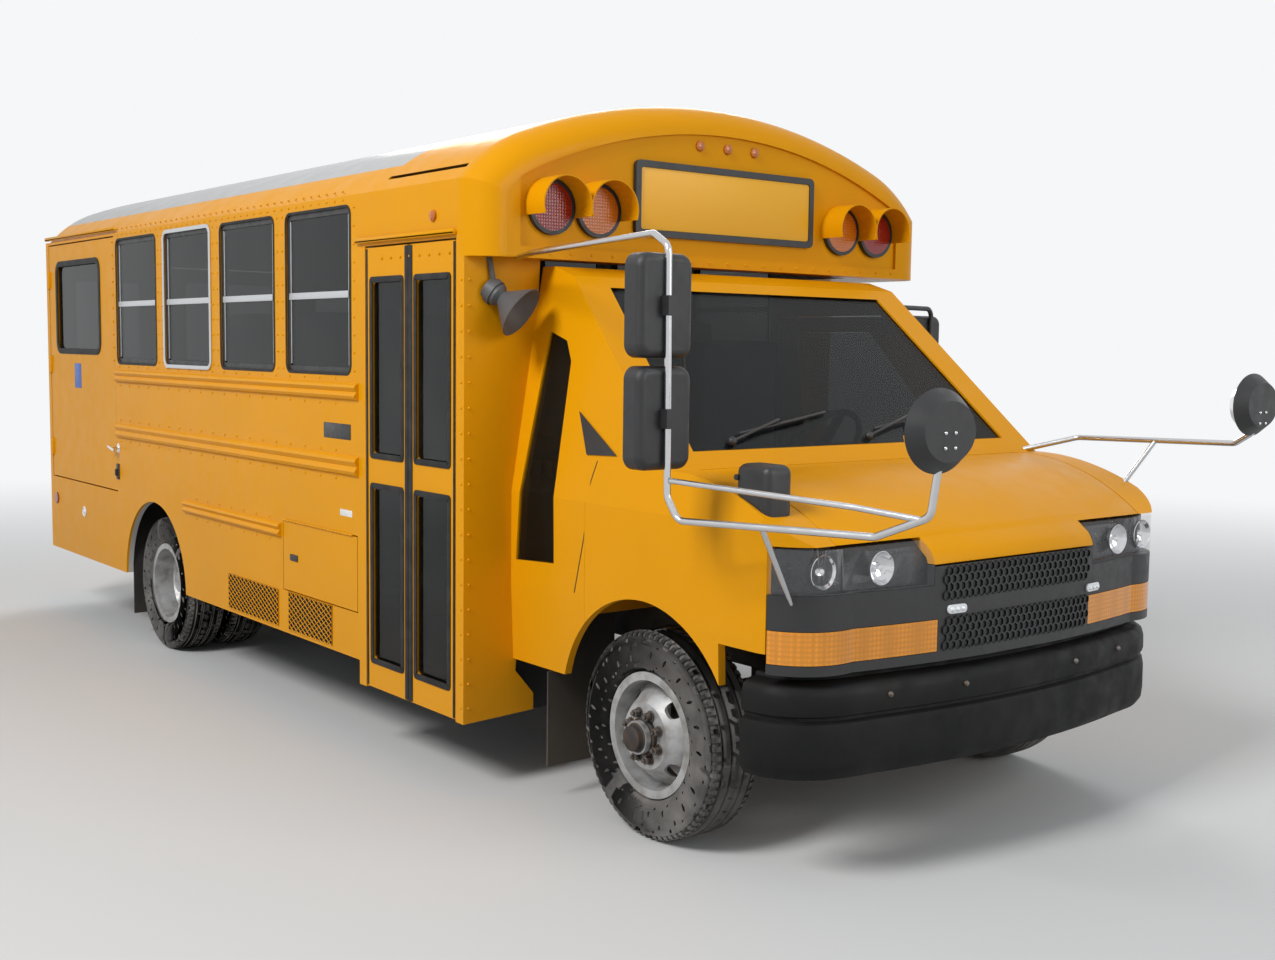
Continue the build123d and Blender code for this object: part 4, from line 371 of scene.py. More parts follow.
# %% Metals
stainless = worn("stainless", (0.58, 0.58, 0.59), 0.22, gloss=(20.0, 5.0, 0.14, 0.26),
                 grain=(40.0, 2.0, 0.00004), metallic=1.0)
aluminium = worn("aluminium", (0.62, 0.63, 0.64), 0.38, gloss=(40.0, 5.0, 0.30, 0.50), metallic=0.9)
bump(aluminium, noise(aluminium, 250.0, 2.0, (1, 1, 0.05)), 0.0001)
wheel_silver = worn("wheel_silver", (0.46, 0.46, 0.46), 0.42,
                    patches=(16.0, 8.0, 0.42, 0.72, 0.8, (0.20, 0.18, 0.155)),
                    gloss=(20.0, 6.0, 0.34, 0.60), grain=(220.0, 4.0, 0.0003), metallic=0.55)
nut_steel = worn("nut_steel", (0.16, 0.15, 0.14), 0.5,
                 patches=(70.0, 6.0, 0.45, 0.65, 1.0, (0.10, 0.060, 0.035)),
                 grain=(400.0, 4.0, 0.0004), metallic=0.85)
mirror_glass = worn("mirror_glass", (0.82, 0.83, 0.84), 0.03, gloss=(6.0, 4.0, 0.02, 0.05), metallic=1.0)
chrome = worn("chrome", (0.80, 0.80, 0.82), 0.06, gloss=(25.0, 4.0, 0.04, 0.10), metallic=1.0)
print("metals ready")

# %% Glass and lenses
LENS_RELIEF = 0.0012


def tinted_glass(name, colour, face_on, edge_on):
    """Thin tinted glass: see-through face on, a mirror at a low angle."""
    material = finish(name, colour, 0.02, specular=0.6)
    tree = material.node_tree
    angle = add_node(tree, "LayerWeight", {"Blend": 0.35})
    opacity = spread(material, angle.outputs["Fresnel"], 0.05, 0.8, face_on, edge_on)
    tree.links.new(opacity, tree.nodes["Principled BSDF"].inputs["Alpha"])
    film = spread(material, noise(material, 3.0, 6.0), 0.5, 0.9, 0.0, 0.2)
    blend_colour(material, film, (0.10, 0.095, 0.085))
    return material


def lens(name, colour, cell):
    """A moulded lens with small raised optics over the whole face, and painted shade in the grooves between
    them.
    """
    material = finish(name, colour, 0.12, coat=0.4)
    optics = cells(material, 1 / cell, Randomness=0.0)
    # painted shade: the colour darkens towards the low edge of each optic, in the grooves between them
    blend_colour(material, spread(material, optics, 0.0, 0.6, 0.0, 0.45), tuple(c * 0.3 for c in colour))
    bump(material, optics, -LENS_RELIEF)
    return material


window_glass = tinted_glass("window_glass", (0.004, 0.006, 0.006), 0.48, 0.9)
windshield_glass = tinted_glass("windshield_glass", (0.006, 0.010, 0.010), 0.20, 0.85)
red_lens = lens("red_lens", (0.30, 0.012, 0.008), 0.012)
amber_lens = lens("amber_lens", (0.62, 0.16, 0.008), 0.012)
turn_lens = lens("turn_lens", (0.84, 0.30, 0.004), 0.016)
clear_lens = finish("clear_lens", (0.30, 0.31, 0.32), 0.04, coat=0.2)
clear_lens.node_tree.nodes["Principled BSDF"].inputs["Alpha"].default_value = 0.16
bump(clear_lens, noise(clear_lens, 60.0, 2.0, (1, 1, 0.1)), 0.0002)
led_white = worn("led_white", (0.70, 0.72, 0.74), 0.15, grain=(160.0, 2.0, 0.0004), coat=0.5)
print("glass and lenses ready")

# %% [markdown]
# ## Dress the frame
# The rigid pieces keep their own shape and take a finish each. A table of pieces and
# finishes is easier to check against the real bus than a line for each.

# %% Finishes for the frame's pieces
window_black = worn("window_black", (0.020, 0.020, 0.021), 0.45, gloss=(30.0, 5.0, 0.38, 0.55),
                    grain=(300.0, 4.0, 0.0003))
FINISHES = (
    (lined_yellow, "right_side_wall left_side_wall"),
    (yellow_paint, "rear_wall front_cap bulkhead entry_door_rear_leaf entry_door_front_leaf lift_door "
                   "rear_door battery_door cab_shell driver_door hood front_fenders"),
    (white_paint, "roof"),
    (red_paint, "stop_arm"),
    (frame_black, "chassis_frame fuel_tank seat_frames rear_bumper"),
    (cast_metal, "engine_block suspension rear_axle knuckle_left knuckle_right exhaust"),
    (tyre_rubber, "front_tyre_left front_tyre_right rear_tyres_left rear_tyres_right"),
    (wheel_silver, "front_rim_left front_rim_right rear_rims_left rear_rims_right"),
    (black_plastic, "lamp_and_sign_bezels grille mirror_housings driver_mirror steering_wheel floor "
                    "horn_speaker"),
    (bumper_plastic, "front_bumper"),
    (grey_plastic, "dashboard"),
    (flap_rubber, "mudflaps"),
    (stainless, "mirror_stands"),
    (window_black, "window_frames"),
    (mirror_glass, "mirror_faces"),
    (window_glass, "body_glass entry_glass_rear entry_glass_front lift_door_glass rear_door_glass"),
    (windshield_glass, "cab_glass driver_door_glass"),
    (red_lens, "red_lamps"),
    (amber_lens, "amber_lamps"),
    (turn_lens, "turn_lamps"),
    (clear_lens, "headlights"),
)
dressed = [(material, node_name) for material, names in FINISHES for node_name in names.split()]
for material, node_name in dressed:
    nodes[node_name].data.materials.clear()
    nodes[node_name].data.materials.append(material)
print("finished", len(dressed), "pieces of the frame")

# %% [markdown]
# ## Working helpers
# Each new piece starts from a primitive, is shaped in edit mode and ends at the origin
# with its place in its mesh, so it rides on a body of the bus. The helpers below do the
# steps that every piece shares: clearing the selection, standing a shape on a wall that
# faces some way, and settling a finished piece.

# %% Helpers for making pieces
FACING = {  # across the face, up the face; the face's own normal is their cross product
    "right": ((1, 0, 0), (0, 0, 1)),
    "left": ((-1, 0, 0), (0, 0, 1)),
    "front": ((0, 1, 0), (0, 0, 1)),
    "rear": ((0, -1, 0), (0, 0, 1)),
}


def clear_selection():
    """Object mode, with nothing selected."""
    if bpy.context.object and bpy.context.object.mode != "OBJECT":
        bpy.ops.object.mode_set(mode="OBJECT")
    bpy.ops.object.select_all(action="DESELECT")


def activate(*pieces):
    """Selects only these pieces and makes the first the active one."""
    clear_selection()
    for piece in pieces:
        piece.select_set(True)
    bpy.context.view_layer.objects.active = pieces[0]


@contextmanager
def edit_mode():
    """Edit mode on the active piece, with all of it selected at the start."""
    bpy.ops.object.mode_set(mode="EDIT")
    bpy.ops.mesh.select_all(action="SELECT")
    yield
    bpy.ops.object.mode_set(mode="OBJECT")


def apply_place(piece):
    """Moves a piece's place, turn and scale into its mesh."""
    activate(piece)
    bpy.ops.object.transform_apply(location=True, rotation=True, scale=True)
    return piece


def stand(piece, place, across, upward):
    """Turns a shape drawn flat on XY so that its x runs across and its y up, at a place."""
    x_axis = Vector(across).normalized()
    y_axis = Vector(upward).normalized()
    turned = Matrix((x_axis, y_axis, x_axis.cross(y_axis))).transposed()
    piece.matrix_world = Matrix.Translation(Vector(place)) @ turned.to_4x4() @ piece.matrix_world
    return apply_place(piece)


def on_face(piece, place, facing):
    """Stands a flat shape on a wall that faces a named way."""
    return stand(piece, place, *FACING[facing])


def add_modifier(piece, kind, **values):
    """Adds a modifier, sets its values and applies it."""
    modifier = piece.modifiers.new(kind.lower(), kind)
    for key, value in values.items():
        setattr(modifier, key, value)
    activate(piece)
    bpy.ops.object.modifier_apply(modifier=modifier.name)


def settle(parts, name, body, material, smooth=35):
    """Joins the parts of a piece, names it, gives it a finish and lets it ride on a body."""
    activate(*parts)
    if len(parts) > 1:
        bpy.ops.object.join()
    piece = apply_place(parts[0])
    if smooth:
        bpy.ops.object.shade_smooth_by_angle(angle=radians(smooth))
    piece.name = name
    piece.data.name = name
    piece.data.materials.clear()
    piece.data.materials.append(material)
    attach(piece, body)
    clear_selection()
    return piece


print("piece helpers ready")

# %% Helpers for blocks, plates, rods and rivets


def slab(low, high, edge, segments=2):
    """A block between two corners with rounded edges, its place applied."""
    clear_selection()
    middle = [(a + b) / 2 for a, b in zip(low, high)]
    bpy.ops.mesh.primitive_cube_add(size=1, location=middle)
    piece = bpy.context.object
    piece.scale = [abs(b - a) for a, b in zip(low, high)]
    apply_place(piece)
    add_modifier(piece, "BEVEL", width=edge, segments=segments)
    return piece


def cut_sheet(width, height, radius, corner_segments=5):
    """A flat sheet on XY with rounded corners."""
    clear_selection()
    bpy.ops.mesh.primitive_plane_add(size=1)
    piece = bpy.context.object
    piece.scale = (width, height, 1)
    apply_place(piece)
    with edit_mode():
        bpy.ops.mesh.bevel(offset=radius, segments=corner_segments, affect="VERTICES")
    return piece


def soften(piece, edge):
    """Rounds the sharp edges of a piece, unless the edge is 0."""
    if edge:
        add_modifier(piece, "BEVEL", width=edge, segments=2, limit_method="ANGLE")
    return piece


def rounded_plate(width, height, radius, thickness, edge):
    """A flat plate on XY with rounded corners, rising by its thickness."""
    piece = cut_sheet(width, height, radius)
    add_modifier(piece, "SOLIDIFY", thickness=thickness, offset=1)
    return soften(piece, edge)


def ring_plate(width, height, radius, border, thickness, edge):
    """A rounded frame on XY, such as a rubber gasket: the border lies inside the size."""
    piece = cut_sheet(width, height, radius)
    with edit_mode():
        bpy.ops.mesh.inset(thickness=border)
        bpy.ops.mesh.delete(type="FACE")
    add_modifier(piece, "SOLIDIFY", thickness=thickness, offset=1)
    return soften(piece, edge)


def turned_to(direction):
    """The turn that points an upright shape along a direction."""
    return Vector(direction).to_track_quat("Z", "Y").to_matrix().to_4x4()


def rod(start, end, radius, sides=16, edge=0.0):
    """A round bar between two points."""
    start, end = Vector(start), Vector(end)
    clear_selection()
    bpy.ops.mesh.primitive_cylinder_add(vertices=sides, radius=radius, depth=(end - start).length)
    piece = bpy.context.object
    piece.matrix_world = Matrix.Translation((start + end) / 2) @ turned_to((end - start).normalized())
    return soften(apply_place(piece), edge)


def dome(place, normal, radius, height, sides):
    """A low round head, such as a rivet, standing on a surface."""
    clear_selection()
    bpy.ops.mesh.primitive_uv_sphere_add(segments=sides, ring_count=6, radius=radius)
    piece = bpy.context.object
    piece.scale = (1, 1, height / radius)
    piece.matrix_world = Matrix.Translation(Vector(place)) @ turned_to(normal) @ piece.matrix_world
    return apply_place(piece)


def row_of(piece, step, count):
    """Repeats a piece along a straight step."""
    add_modifier(piece, "ARRAY", count=count, use_relative_offset=False, use_constant_offset=True,
                 constant_offset_displace=step)
    return piece


def spun(points, centre, axis, steps):
    """Spins a closed outline of (along, out) points right round an axis through a centre."""
    clear_selection()
    axis = Vector(axis).normalized()
    bpy.ops.mesh.primitive_circle_add(vertices=len(points), radius=0.1)
    piece = bpy.context.object
    away = Vector((0, 0, 1)) if abs(axis.z) < 0.9 else Vector((1, 0, 0))
    away = (away - axis * away.dot(axis)).normalized()
    for vertex, (forward, out) in zip(piece.data.vertices, points):
        vertex.co = Vector(centre) + axis * forward + away * out
    with edit_mode():
        bpy.ops.mesh.spin(steps=steps, angle=2 * pi, center=centre, axis=axis)
        bpy.ops.mesh.select_all(action="SELECT")
        bpy.ops.mesh.remove_doubles(threshold=0.00005)
        bpy.ops.mesh.normals_make_consistent(inside=False)
    return piece


print("shape helpers ready")

# %% [markdown]
# ## Tyres
# A bus tyre has straight ribs and cross grooves at its shoulders, over a smooth wall with
# a bulge. The section is spun round the axle, and every second face of the shoulders is
# then pressed in, which cuts them into blocks.

# %% Tyres with tread
TYRE_STEPS = 150
TREAD_DEPTH = 0.006
TYRE_HALF = (  # across from the middle, out from the axle
    (0.0000, 0.3670), (0.0240, 0.3668), (0.0260, 0.3590), (0.0330, 0.3590), (0.0350, 0.3665),
    (0.0620, 0.3655), (0.0640, 0.3570), (0.0710, 0.3565), (0.0730, 0.3640), (0.0880, 0.3620),
    (0.0975, 0.3550), (0.1020, 0.3450), (0.1060, 0.3280), (0.1065, 0.3240), (0.1105, 0.3180),
    (0.1115, 0.2950), (0.1105, 0.2640), (0.1080, 0.2560), (0.1085, 0.2520), (0.1035, 0.2400),
    (0.0920, 0.2270), (0.0730, 0.2240), (0.0730, 0.2050))
TYRE_HALF_WIDTH = 0.1115
SHOULDER_ACROSS = 0.072
SHOULDER_OUT = 0.338


def treaded_tyre(centre):
    """One tyre about a Y axle through its centre, with blocks cut into its shoulders."""
    other_half = [(-across, out) for across, out in reversed(TYRE_HALF[1:])]
    tyre = spun(list(TYRE_HALF) + other_half, centre, (0, 1, 0), TYRE_STEPS)
    step = 2 * pi / TYRE_STEPS
    for face in tyre.data.polygons:
        arm = face.center - Vector(centre)
        shoulder = abs(arm.y) > SHOULDER_ACROSS and Vector((arm.x, 0, arm.z)).length > SHOULDER_OUT
        turn_count = int(((atan2(arm.z, arm.x) + pi) / step) + 0.25)
        face.select = shoulder and turn_count % 2 == 0
    bpy.ops.object.mode_set(mode="EDIT")
    bpy.ops.mesh.select_mode(type="FACE")
    bpy.ops.mesh.extrude_region_shrink_fatten(TRANSFORM_OT_shrink_fatten={"value": -TREAD_DEPTH})
    bpy.ops.object.mode_set(mode="OBJECT")
    return tyre


TYRES = (  # node, body, twins
    ("front_tyre_left", "front_wheel_left", False),
    ("front_tyre_right", "front_wheel_right", False),
    ("rear_tyres_left", "rear_wheels_left", True),
    ("rear_tyres_right", "rear_wheels_right", True),
)
for node_name, body_name, twins in TYRES:
    low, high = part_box(node_name)
    axle_x, middle_y, axle_z = middle_of(node_name)
    spots = (low[1] + TYRE_HALF_WIDTH, high[1] - TYRE_HALF_WIDTH) if twins else (middle_y,)
    rings = [treaded_tyre((axle_x, y, axle_z)) for y in spots]
    tyres = settle(rings, node_name + "_treaded", body_name, tyre_rubber)
    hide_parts(node_name)
    print(tyres.name, len(tyres.data.polygons), "faces")

# %% [markdown]
# ## Wheel nuts, hub flanges and caps
# Eight nuts clamp each wheel to its hub, and on the front a stepped hub with a dust cap
# comes through the middle. A nut is a six-sided cylinder with its top edge rounded,
# standing on a washer, with the end of its stud showing.

# %% Nuts and hubs
NUT_COUNT = 8
NUT_CIRCLE = 0.0825
NUT_RADIUS = 0.0155
FRONT_FACE_OUT = 0.104
REAR_FACE_IN = 0.118


def nut_ring(axle_x, face_y, axle_z, side):
    """Wheel nuts with their washers and studs round an axle, on a wheel face."""
    parts = []
    for i in range(NUT_COUNT):
        angle = 2 * pi * (i + 0.5) / NUT_COUNT
        spot = Vector((axle_x + NUT_CIRCLE * cos(angle), face_y, axle_z + NUT_CIRCLE * sin(angle)))
        outward = Vector((0, side, 0))
        parts.append(rod(spot, spot + outward * 0.005, NUT_RADIUS * 1.25, 16))
        parts.append(rod(spot + outward * 0.005, spot + outward * 0.026, NUT_RADIUS, 6, edge=0.002))
        parts.append(rod(spot + outward * 0.026, spot + outward * 0.036, NUT_RADIUS * 0.5, 10, edge=0.001))
    return parts


HUB_OUTLINE = (  # outward from the wheel face, out from the axle
    (0.0, 0.0), (0.0, 0.066), (0.012, 0.066), (0.016, 0.060), (0.040, 0.052), (0.044, 0.046), (0.062, 0.044),
    (0.068, 0.036), (0.070, 0.0))
for side_name, side in reversed(SIDES):
    wheel = "front_wheel_" + side_name
    axle_x, _, axle_z = middle_of("front_rim_" + side_name)
    face_y = middle_of("front_tyre_" + side_name)[1] + side * FRONT_FACE_OUT
    settle(nut_ring(axle_x, face_y, axle_z, side), "front_nuts_" + side_name, wheel, nut_steel)
    outline = [(side * outward, out) for outward, out in HUB_OUTLINE]
    hub = spun(outline, (axle_x, face_y, axle_z), (0, 1, 0), 40)
    settle([hub], "front_hub_" + side_name, wheel, cast_metal)
    low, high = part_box("rear_tyres_" + side_name)
    face_y = (high[1] if side > 0 else low[1]) - side * TYRE_HALF_WIDTH - side * REAR_FACE_IN
    axle_x, _, axle_z = middle_of("rear_tyres_" + side_name)
    wheel = "rear_wheels_" + side_name
    settle(nut_ring(axle_x, face_y, axle_z, side), "rear_nuts_" + side_name, wheel, nut_steel)
print("nuts on four hubs")

# %% [markdown]
# ## More helpers: finding a surface
# Small fittings sit on curved panels. A straight line is shot at the panel, and the fitting
# is set where it lands, square to the panel there, so that it touches from every side.

# %% Helpers for curved surfaces
RIVET_RADIUS = 0.0055
RIVET_HEIGHT = 0.0022


def touch(node_name, start, direction):
    """Where a straight line first meets a piece of the frame, and the surface's normal there."""
    hit, place, normal, _ = nodes[node_name].ray_cast(Vector(start), Vector(direction).normalized())
    assert hit, "nothing of " + node_name + " lies that way"
    return place, normal


def from_ahead(node_name, y, z, start_x=4.0):
    """Where a line that comes level from ahead of the bus first meets a piece of the frame."""
    return touch(node_name, (start_x, y, z), (-1, 0, 0))


def square_to(normal):
    """Across and up directions on a surface with a given normal."""
    across = Vector((0, 0, 1)).cross(normal)
    if across.length < 0.01:
        across = Vector((1, 0, 0))
    across.normalize()
    return across, Vector(normal).cross(across)


def outline_plate(points, thickness, border=0.0):
    """A flat plate from its outline; with a border, only the border stays."""
    clear_selection()
    bpy.ops.mesh.primitive_circle_add(vertices=len(points), radius=1, fill_type="NGON")
    piece = bpy.context.object
    for vertex, point in zip(piece.data.vertices, points):
        vertex.co = point
    with edit_mode():
        bpy.ops.mesh.normals_make_consistent(inside=False)
        if border:
            bpy.ops.mesh.inset(thickness=border)
            bpy.ops.mesh.delete(type="FACE")
    add_modifier(piece, "SOLIDIFY", thickness=thickness, offset=1)
    return piece


def rivet(place, normal):
    """One rivet head."""
    return dome(place, normal, RIVET_RADIUS, RIVET_HEIGHT, sides=8)


def rivet_row(start, step, count, facing):
    """A straight row of rivet heads on a flat wall."""
    across, upward = FACING[facing]
    return row_of(rivet(start, Vector(across).cross(Vector(upward))), step, count)


print("surface helpers ready")

# %% [markdown]
# ## Seats
# Bench seats are foam on a steel frame under a sewn vinyl cover. The cover pulls the foam in
# at its edges and along sewn channels, so each pad starts as a finely divided block whose
# points are drawn in towards the edges and along the seams, and a welt cord covers the seam.

# %% Padded seats
seat_vinyl = worn("seat_vinyl", (0.040, 0.046, 0.056), 0.48,
                  patches=(6.0, 6.0, 0.4, 0.8, 0.5, (0.075, 0.078, 0.082)),
                  gloss=(30.0, 6.0, 0.38, 0.58), grain=(420.0, 3.0, 0.0007))
PAD_CUTS = 27
DRAWN_IN = 0.020
CHANNEL_DEPTH = 0.009
WELT_RADIUS = 0.0045


def cushion(low, high, face_axis, channels):
    """A stuffed pad between two corners, crowned, drawn in at its edges and sewn in channels."""
    clear_selection()
    bpy.ops.mesh.primitive_cube_add(size=2)
    pad = bpy.context.object
    with edit_mode():
        bpy.ops.mesh.subdivide(number_cuts=PAD_CUTS)
    half = Vector([(b - a) / 2 for a, b in zip(low, high)])
    middle = Vector([(a + b) / 2 for a, b in zip(low, high)])
    columns = [-1 + 2 * (i + 1) / (channels + 1) for i in range(channels)]
    for vertex in pad.data.vertices:
        unit = vertex.co.copy()
        place = Vector([unit[k] * half[k] for k in range(3)])
        for axis in range(3):
            if abs(unit[axis]) < 0.999:
                continue
            edge = 1.0
            for other in range(3):
                if other != axis:
                    edge *= 1 - min(1.0, abs(unit[other])) ** 8
            sink = DRAWN_IN * (1 - edge)
            sewn = any(abs(unit.y - column) < 1.01 / (PAD_CUTS + 1) for column in columns)
            if axis == face_axis and unit[axis] > 0 and sewn:
                sink += CHANNEL_DEPTH
            place[axis] -= sink if unit[axis] > 0 else -sink
        vertex.co = middle + place
    add_modifier(pad, "SUBSURF", levels=1)
    return pad


def welt(width, height, place, across, upward):
    """A welt cord sewn round the edge of a pad's face."""
    cord = cut_sheet(width, height, 0.035, corner_segments=6)
    with edit_mode():
        bpy.ops.mesh.delete(type="ONLY_FACE")
    bpy.ops.object.convert(target="CURVE")
    cord = bpy.context.object
    cord.data.bevel_depth = WELT_RADIUS
    cord.data.bevel_resolution = 2
    bpy.ops.object.convert(target="MESH")
    return stand(bpy.context.object, place, across, upward)


BENCH_BACKS = ((-1, -2.350), (-1, -3.100), (1, -2.100), (1, -2.850), (1, -3.600))  # side, station of the back
BENCH_WALL_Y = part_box("seat_cushions")[1][1]
BENCH_WIDTH = 0.860
for number, (side, back) in enumerate(BENCH_BACKS):
    back_x = along(back)
    inner, outer = sorted((side * BENCH_WALL_Y, side * (BENCH_WALL_Y - BENCH_WIDTH)))
    middle_y = (inner + outer) / 2
    bench = settle([cushion((back_x + 0.006, inner, 1.120), (back_x + 0.400, outer, 1.230), 2, 1),
                    cushion((back_x - 0.095, inner, 1.122), (back_x, outer, 1.850), 0, 3),
                    welt(0.372, 0.838, (back_x + 0.203, middle_y, 1.218), (1, 0, 0), (0, 1, 0)),
                    welt(0.838, 0.706, (back_x - 0.012, middle_y, 1.486), (0, 1, 0), (0, 0, 1))],
                   "bench_pad_" + str(number + 1), "bus_body", seat_vinyl)
    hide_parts("seat_cushions")
driver_x = along(-1.080)
driver_pads = settle([cushion((driver_x + 0.004, 0.190, 0.960), (driver_x + 0.480, 0.670, 1.090), 2, 1),
                      cushion((driver_x - 0.130, 0.190, 0.962), (driver_x, 0.670, 1.740), 0, 1)],
                     "driver_seat_pads", "bus_body", seat_vinyl)
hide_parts("seat_cushions")
print("benches", len(BENCH_BACKS), "pad faces", len(driver_pads.data.polygons))

# %% [markdown]
# ## Signs and the stop arm
# The sign boards are black frames round a reflective yellow field, left blank here. The
# stop arm is a red octagon with a white border and two red lamps, one above the other.

# %% Blank sign fields and stop arm
sign_sheet = finish("sign_sheet", (0.80, 0.40, 0.008), 0.42)
bump(sign_sheet, cells(sign_sheet, 160.0), 0.0004)
front_field = rounded_plate(0.926, 0.242, 0.013, 0.003, edge=0.001)
on_face(front_field, (along(-0.713) - 0.0005, 0, 2.290), "front")
settle([front_field], "front_sign_field", "bus_body", sign_sheet)
rear_field = rounded_plate(0.926, 0.047, 0.012, 0.003, edge=0.001)
on_face(rear_field, (REAR_X - 0.0135, 0, 2.262), "rear")
settle([rear_field], "rear_sign_field", "bus_body", sign_sheet)

white_sheet = worn("white_sheet", (0.78, 0.78, 0.76), 0.45, grain=(300.0, 2.0, 0.0003))
stop_low, stop_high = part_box("stop_arm")
STOP_X, STOP_Z = stop_low[0] + 0.225, 1.349
BORDER_RADIUS = 0.225 / cos(pi / 8) * 0.965
BORDER_THICKNESS = 0.0016
octagon = [(cos(pi / 8 + i * pi / 4), sin(pi / 8 + i * pi / 4)) for i in range(8)]
for face_name, face_y, order in (("outer", stop_high[1] - 0.0004, -1), ("inner", stop_low[1] + 0.0004, 1)):
    corners = [(STOP_X + BORDER_RADIUS * x, face_y, STOP_Z + BORDER_RADIUS * z) for x, z in octagon[::order]]
    border = outline_plate(corners, BORDER_THICKNESS, border=0.014)
    settle([border], "stop_border_" + face_name, "stop_arm", white_sheet)
STOP_LAMP_OUTLINE = (
    (0.0, 0.0), (0.0, 0.050), (0.006, 0.050), (0.010, 0.046), (0.014, 0.036), (0.016, 0.020), (0.0165, 0.0))
stop_lamps = [spun(STOP_LAMP_OUTLINE, (STOP_X, stop_high[1], STOP_Z + rise), (0, 1, 0), 32)
              for rise in (-0.135, 0.135)]
settle(stop_lamps, "stop_arm_lamps", "stop_arm", red_lens)
print("sign fields and stop arm done")

# %% [markdown]
# ## Entry and lift doors
# The folding entry door closes on two soft rubber noses, one on each leaf, and every pane
# sits in a black rubber gasket. A drip rail over each door keeps rain off the opening.

# %% Door seals, gaskets and drip rails
rear_leaf, front_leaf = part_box("entry_door_rear_leaf"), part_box("entry_door_front_leaf")
DOOR_FACE_Y = rear_leaf[0][1]
LEAF_FOOT, LEAF_TOP = rear_leaf[0][2], rear_leaf[1][2]
ENTRY_PANES = ((0.395, 1.120), (1.250, 1.960))
seal_gap = (rear_leaf[1][0] + front_leaf[0][0]) / 2
for name, low_x, high_x in (("rear", rear_leaf[1][0] - 0.020, seal_gap - 0.0015),
                            ("front", seal_gap + 0.0015, front_leaf[0][0] + 0.020)):
    seal = slab((low_x, DOOR_FACE_Y - 0.005, LEAF_FOOT + 0.003),
                (high_x, DOOR_FACE_Y + 0.030, LEAF_TOP - 0.003), 0.004, 3)
    settle([seal], "entry_seal_" + name, "entry_" + name + "_leaf", seal_rubber)
for name, (low, high) in (("rear", rear_leaf), ("front", front_leaf)):
    rings = [on_face(ring_plate(0.280, top - bottom + 0.030, 0.020, 0.024, 0.004, edge=0.0012),
                     ((low[0] + high[0]) / 2, DOOR_FACE_Y, (bottom + top) / 2), "right")
             for bottom, top in ENTRY_PANES]
    settle(rings, "entry_gaskets_" + name, "entry_" + name + "_leaf", seal_rubber)
    post_x = low[0] + 0.006 if name == "rear" else high[0] - 0.006
    trim = slab((post_x - 0.006, DOOR_FACE_Y - 0.0035, low[2] + 0.004),
                (post_x + 0.006, DOOR_FACE_Y + 0.001, high[2] - 0.004), 0.0015)
    settle([trim], "entry_edge_trim_" + name, "entry_" + name + "_leaf", seal_rubber)

lift_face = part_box("lift_door")[0][1]
low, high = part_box("lift_door_glass")
pane_x, _, pane_z = middle_of("lift_door_glass")
lift_ring = ring_plate(high[0] - low[0] + 0.044, high[2] - low[2] + 0.044, 0.075, 0.034, 0.005, edge=0.0015)
on_face(lift_ring, (pane_x, lift_face, pane_z), "right")
settle([lift_ring], "lift_door_gasket", "lift_door", seal_rubber)
door_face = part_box("rear_door")[0][0]
pane_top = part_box("rear_door_glass")[1][2]
rear_rings = [on_face(ring_plate(0.680, top - bottom + 0.040, 0.060, 0.032, 0.005, edge=0.0015),
                      (door_face, 0, (bottom + top) / 2), "rear")
              for bottom, top in ((0.980, 1.340), (pane_top - 0.600, pane_top))]
settle(rear_rings, "rear_door_gaskets", "rear_door", seal_rubber)

drips = []
for rear_v, front_v, z in ((-1.632, -0.851, 2.112), (-5.857, -4.553, 2.325)):
    rear_x, front_x, out_y = along(rear_v), along(front_v), -SIDE - 0.016
    drips.append(slab((rear_x, out_y, z), (front_x, -SIDE + 0.001, z + 0.012), 0.003))
    drips.append(slab((rear_x, out_y, z + 0.002), (front_x, -SIDE - 0.012, z + 0.022), 0.0015))
settle(drips, "drip_rails", "bus_body", yellow_paint)
print("door trim done")

# %% [markdown]
# ## Side windows
# Each window is a dark frame with two sliding sashes. The sash rails that meet in the
# middle are bare aluminium, and the heavier push-out window has a bright outer frame.

# %% Sash rails and push-out window
WINDOW_CENTRE_Z = middle_of("window_frames")[2]
WINDOW_FRONT_V = -1.701
WINDOW_WIDTH = 0.620
WINDOW_PITCH = 0.750
WINDOW_COUNT = {"right": 4, "left": 5}
PUSH_OUT = 2
MID_Z = 1.912


def window_centre(i, side_name):
    """The middle of a window on the outside of a wall, counted from the front."""
    x = along(WINDOW_FRONT_V - i * WINDOW_PITCH) - WINDOW_WIDTH / 2
    return x, dict(SIDES)[side_name] * SIDE, WINDOW_CENTRE_Z


for side_name, side in SIDES:
    face_y = side * (SIDE - 0.006)
    bars = []
    for i in range(WINDOW_COUNT[side_name]):
        high_x = along(WINDOW_FRONT_V - i * WINDOW_PITCH)
        low_x = high_x - WINDOW_WIDTH
        bars.append(slab((low_x + 0.024, face_y, MID_Z - 0.017),
                         (high_x - 0.024, face_y + side * 0.005, MID_Z + 0.013), 0.0025))
        for stile_x in (low_x + 0.026, high_x - 0.034):
            bars.append(slab((stile_x, face_y - side * 0.007, MID_Z - 0.300),
                             (stile_x + 0.008, face_y - side * 0.002, MID_Z + 0.330), 0.001))
    settle(bars, "sash_rails_" + side_name, "bus_body", aluminium)
for side_name, side in SIDES:
    ring = ring_plate(WINDOW_WIDTH + 0.030, 0.725, 0.050, 0.020, 0.008, edge=0.0025)
    on_face(ring, window_centre(PUSH_OUT, side_name), side_name)
    settle([ring], "push_out_frame_" + side_name, "bus_body", aluminium)
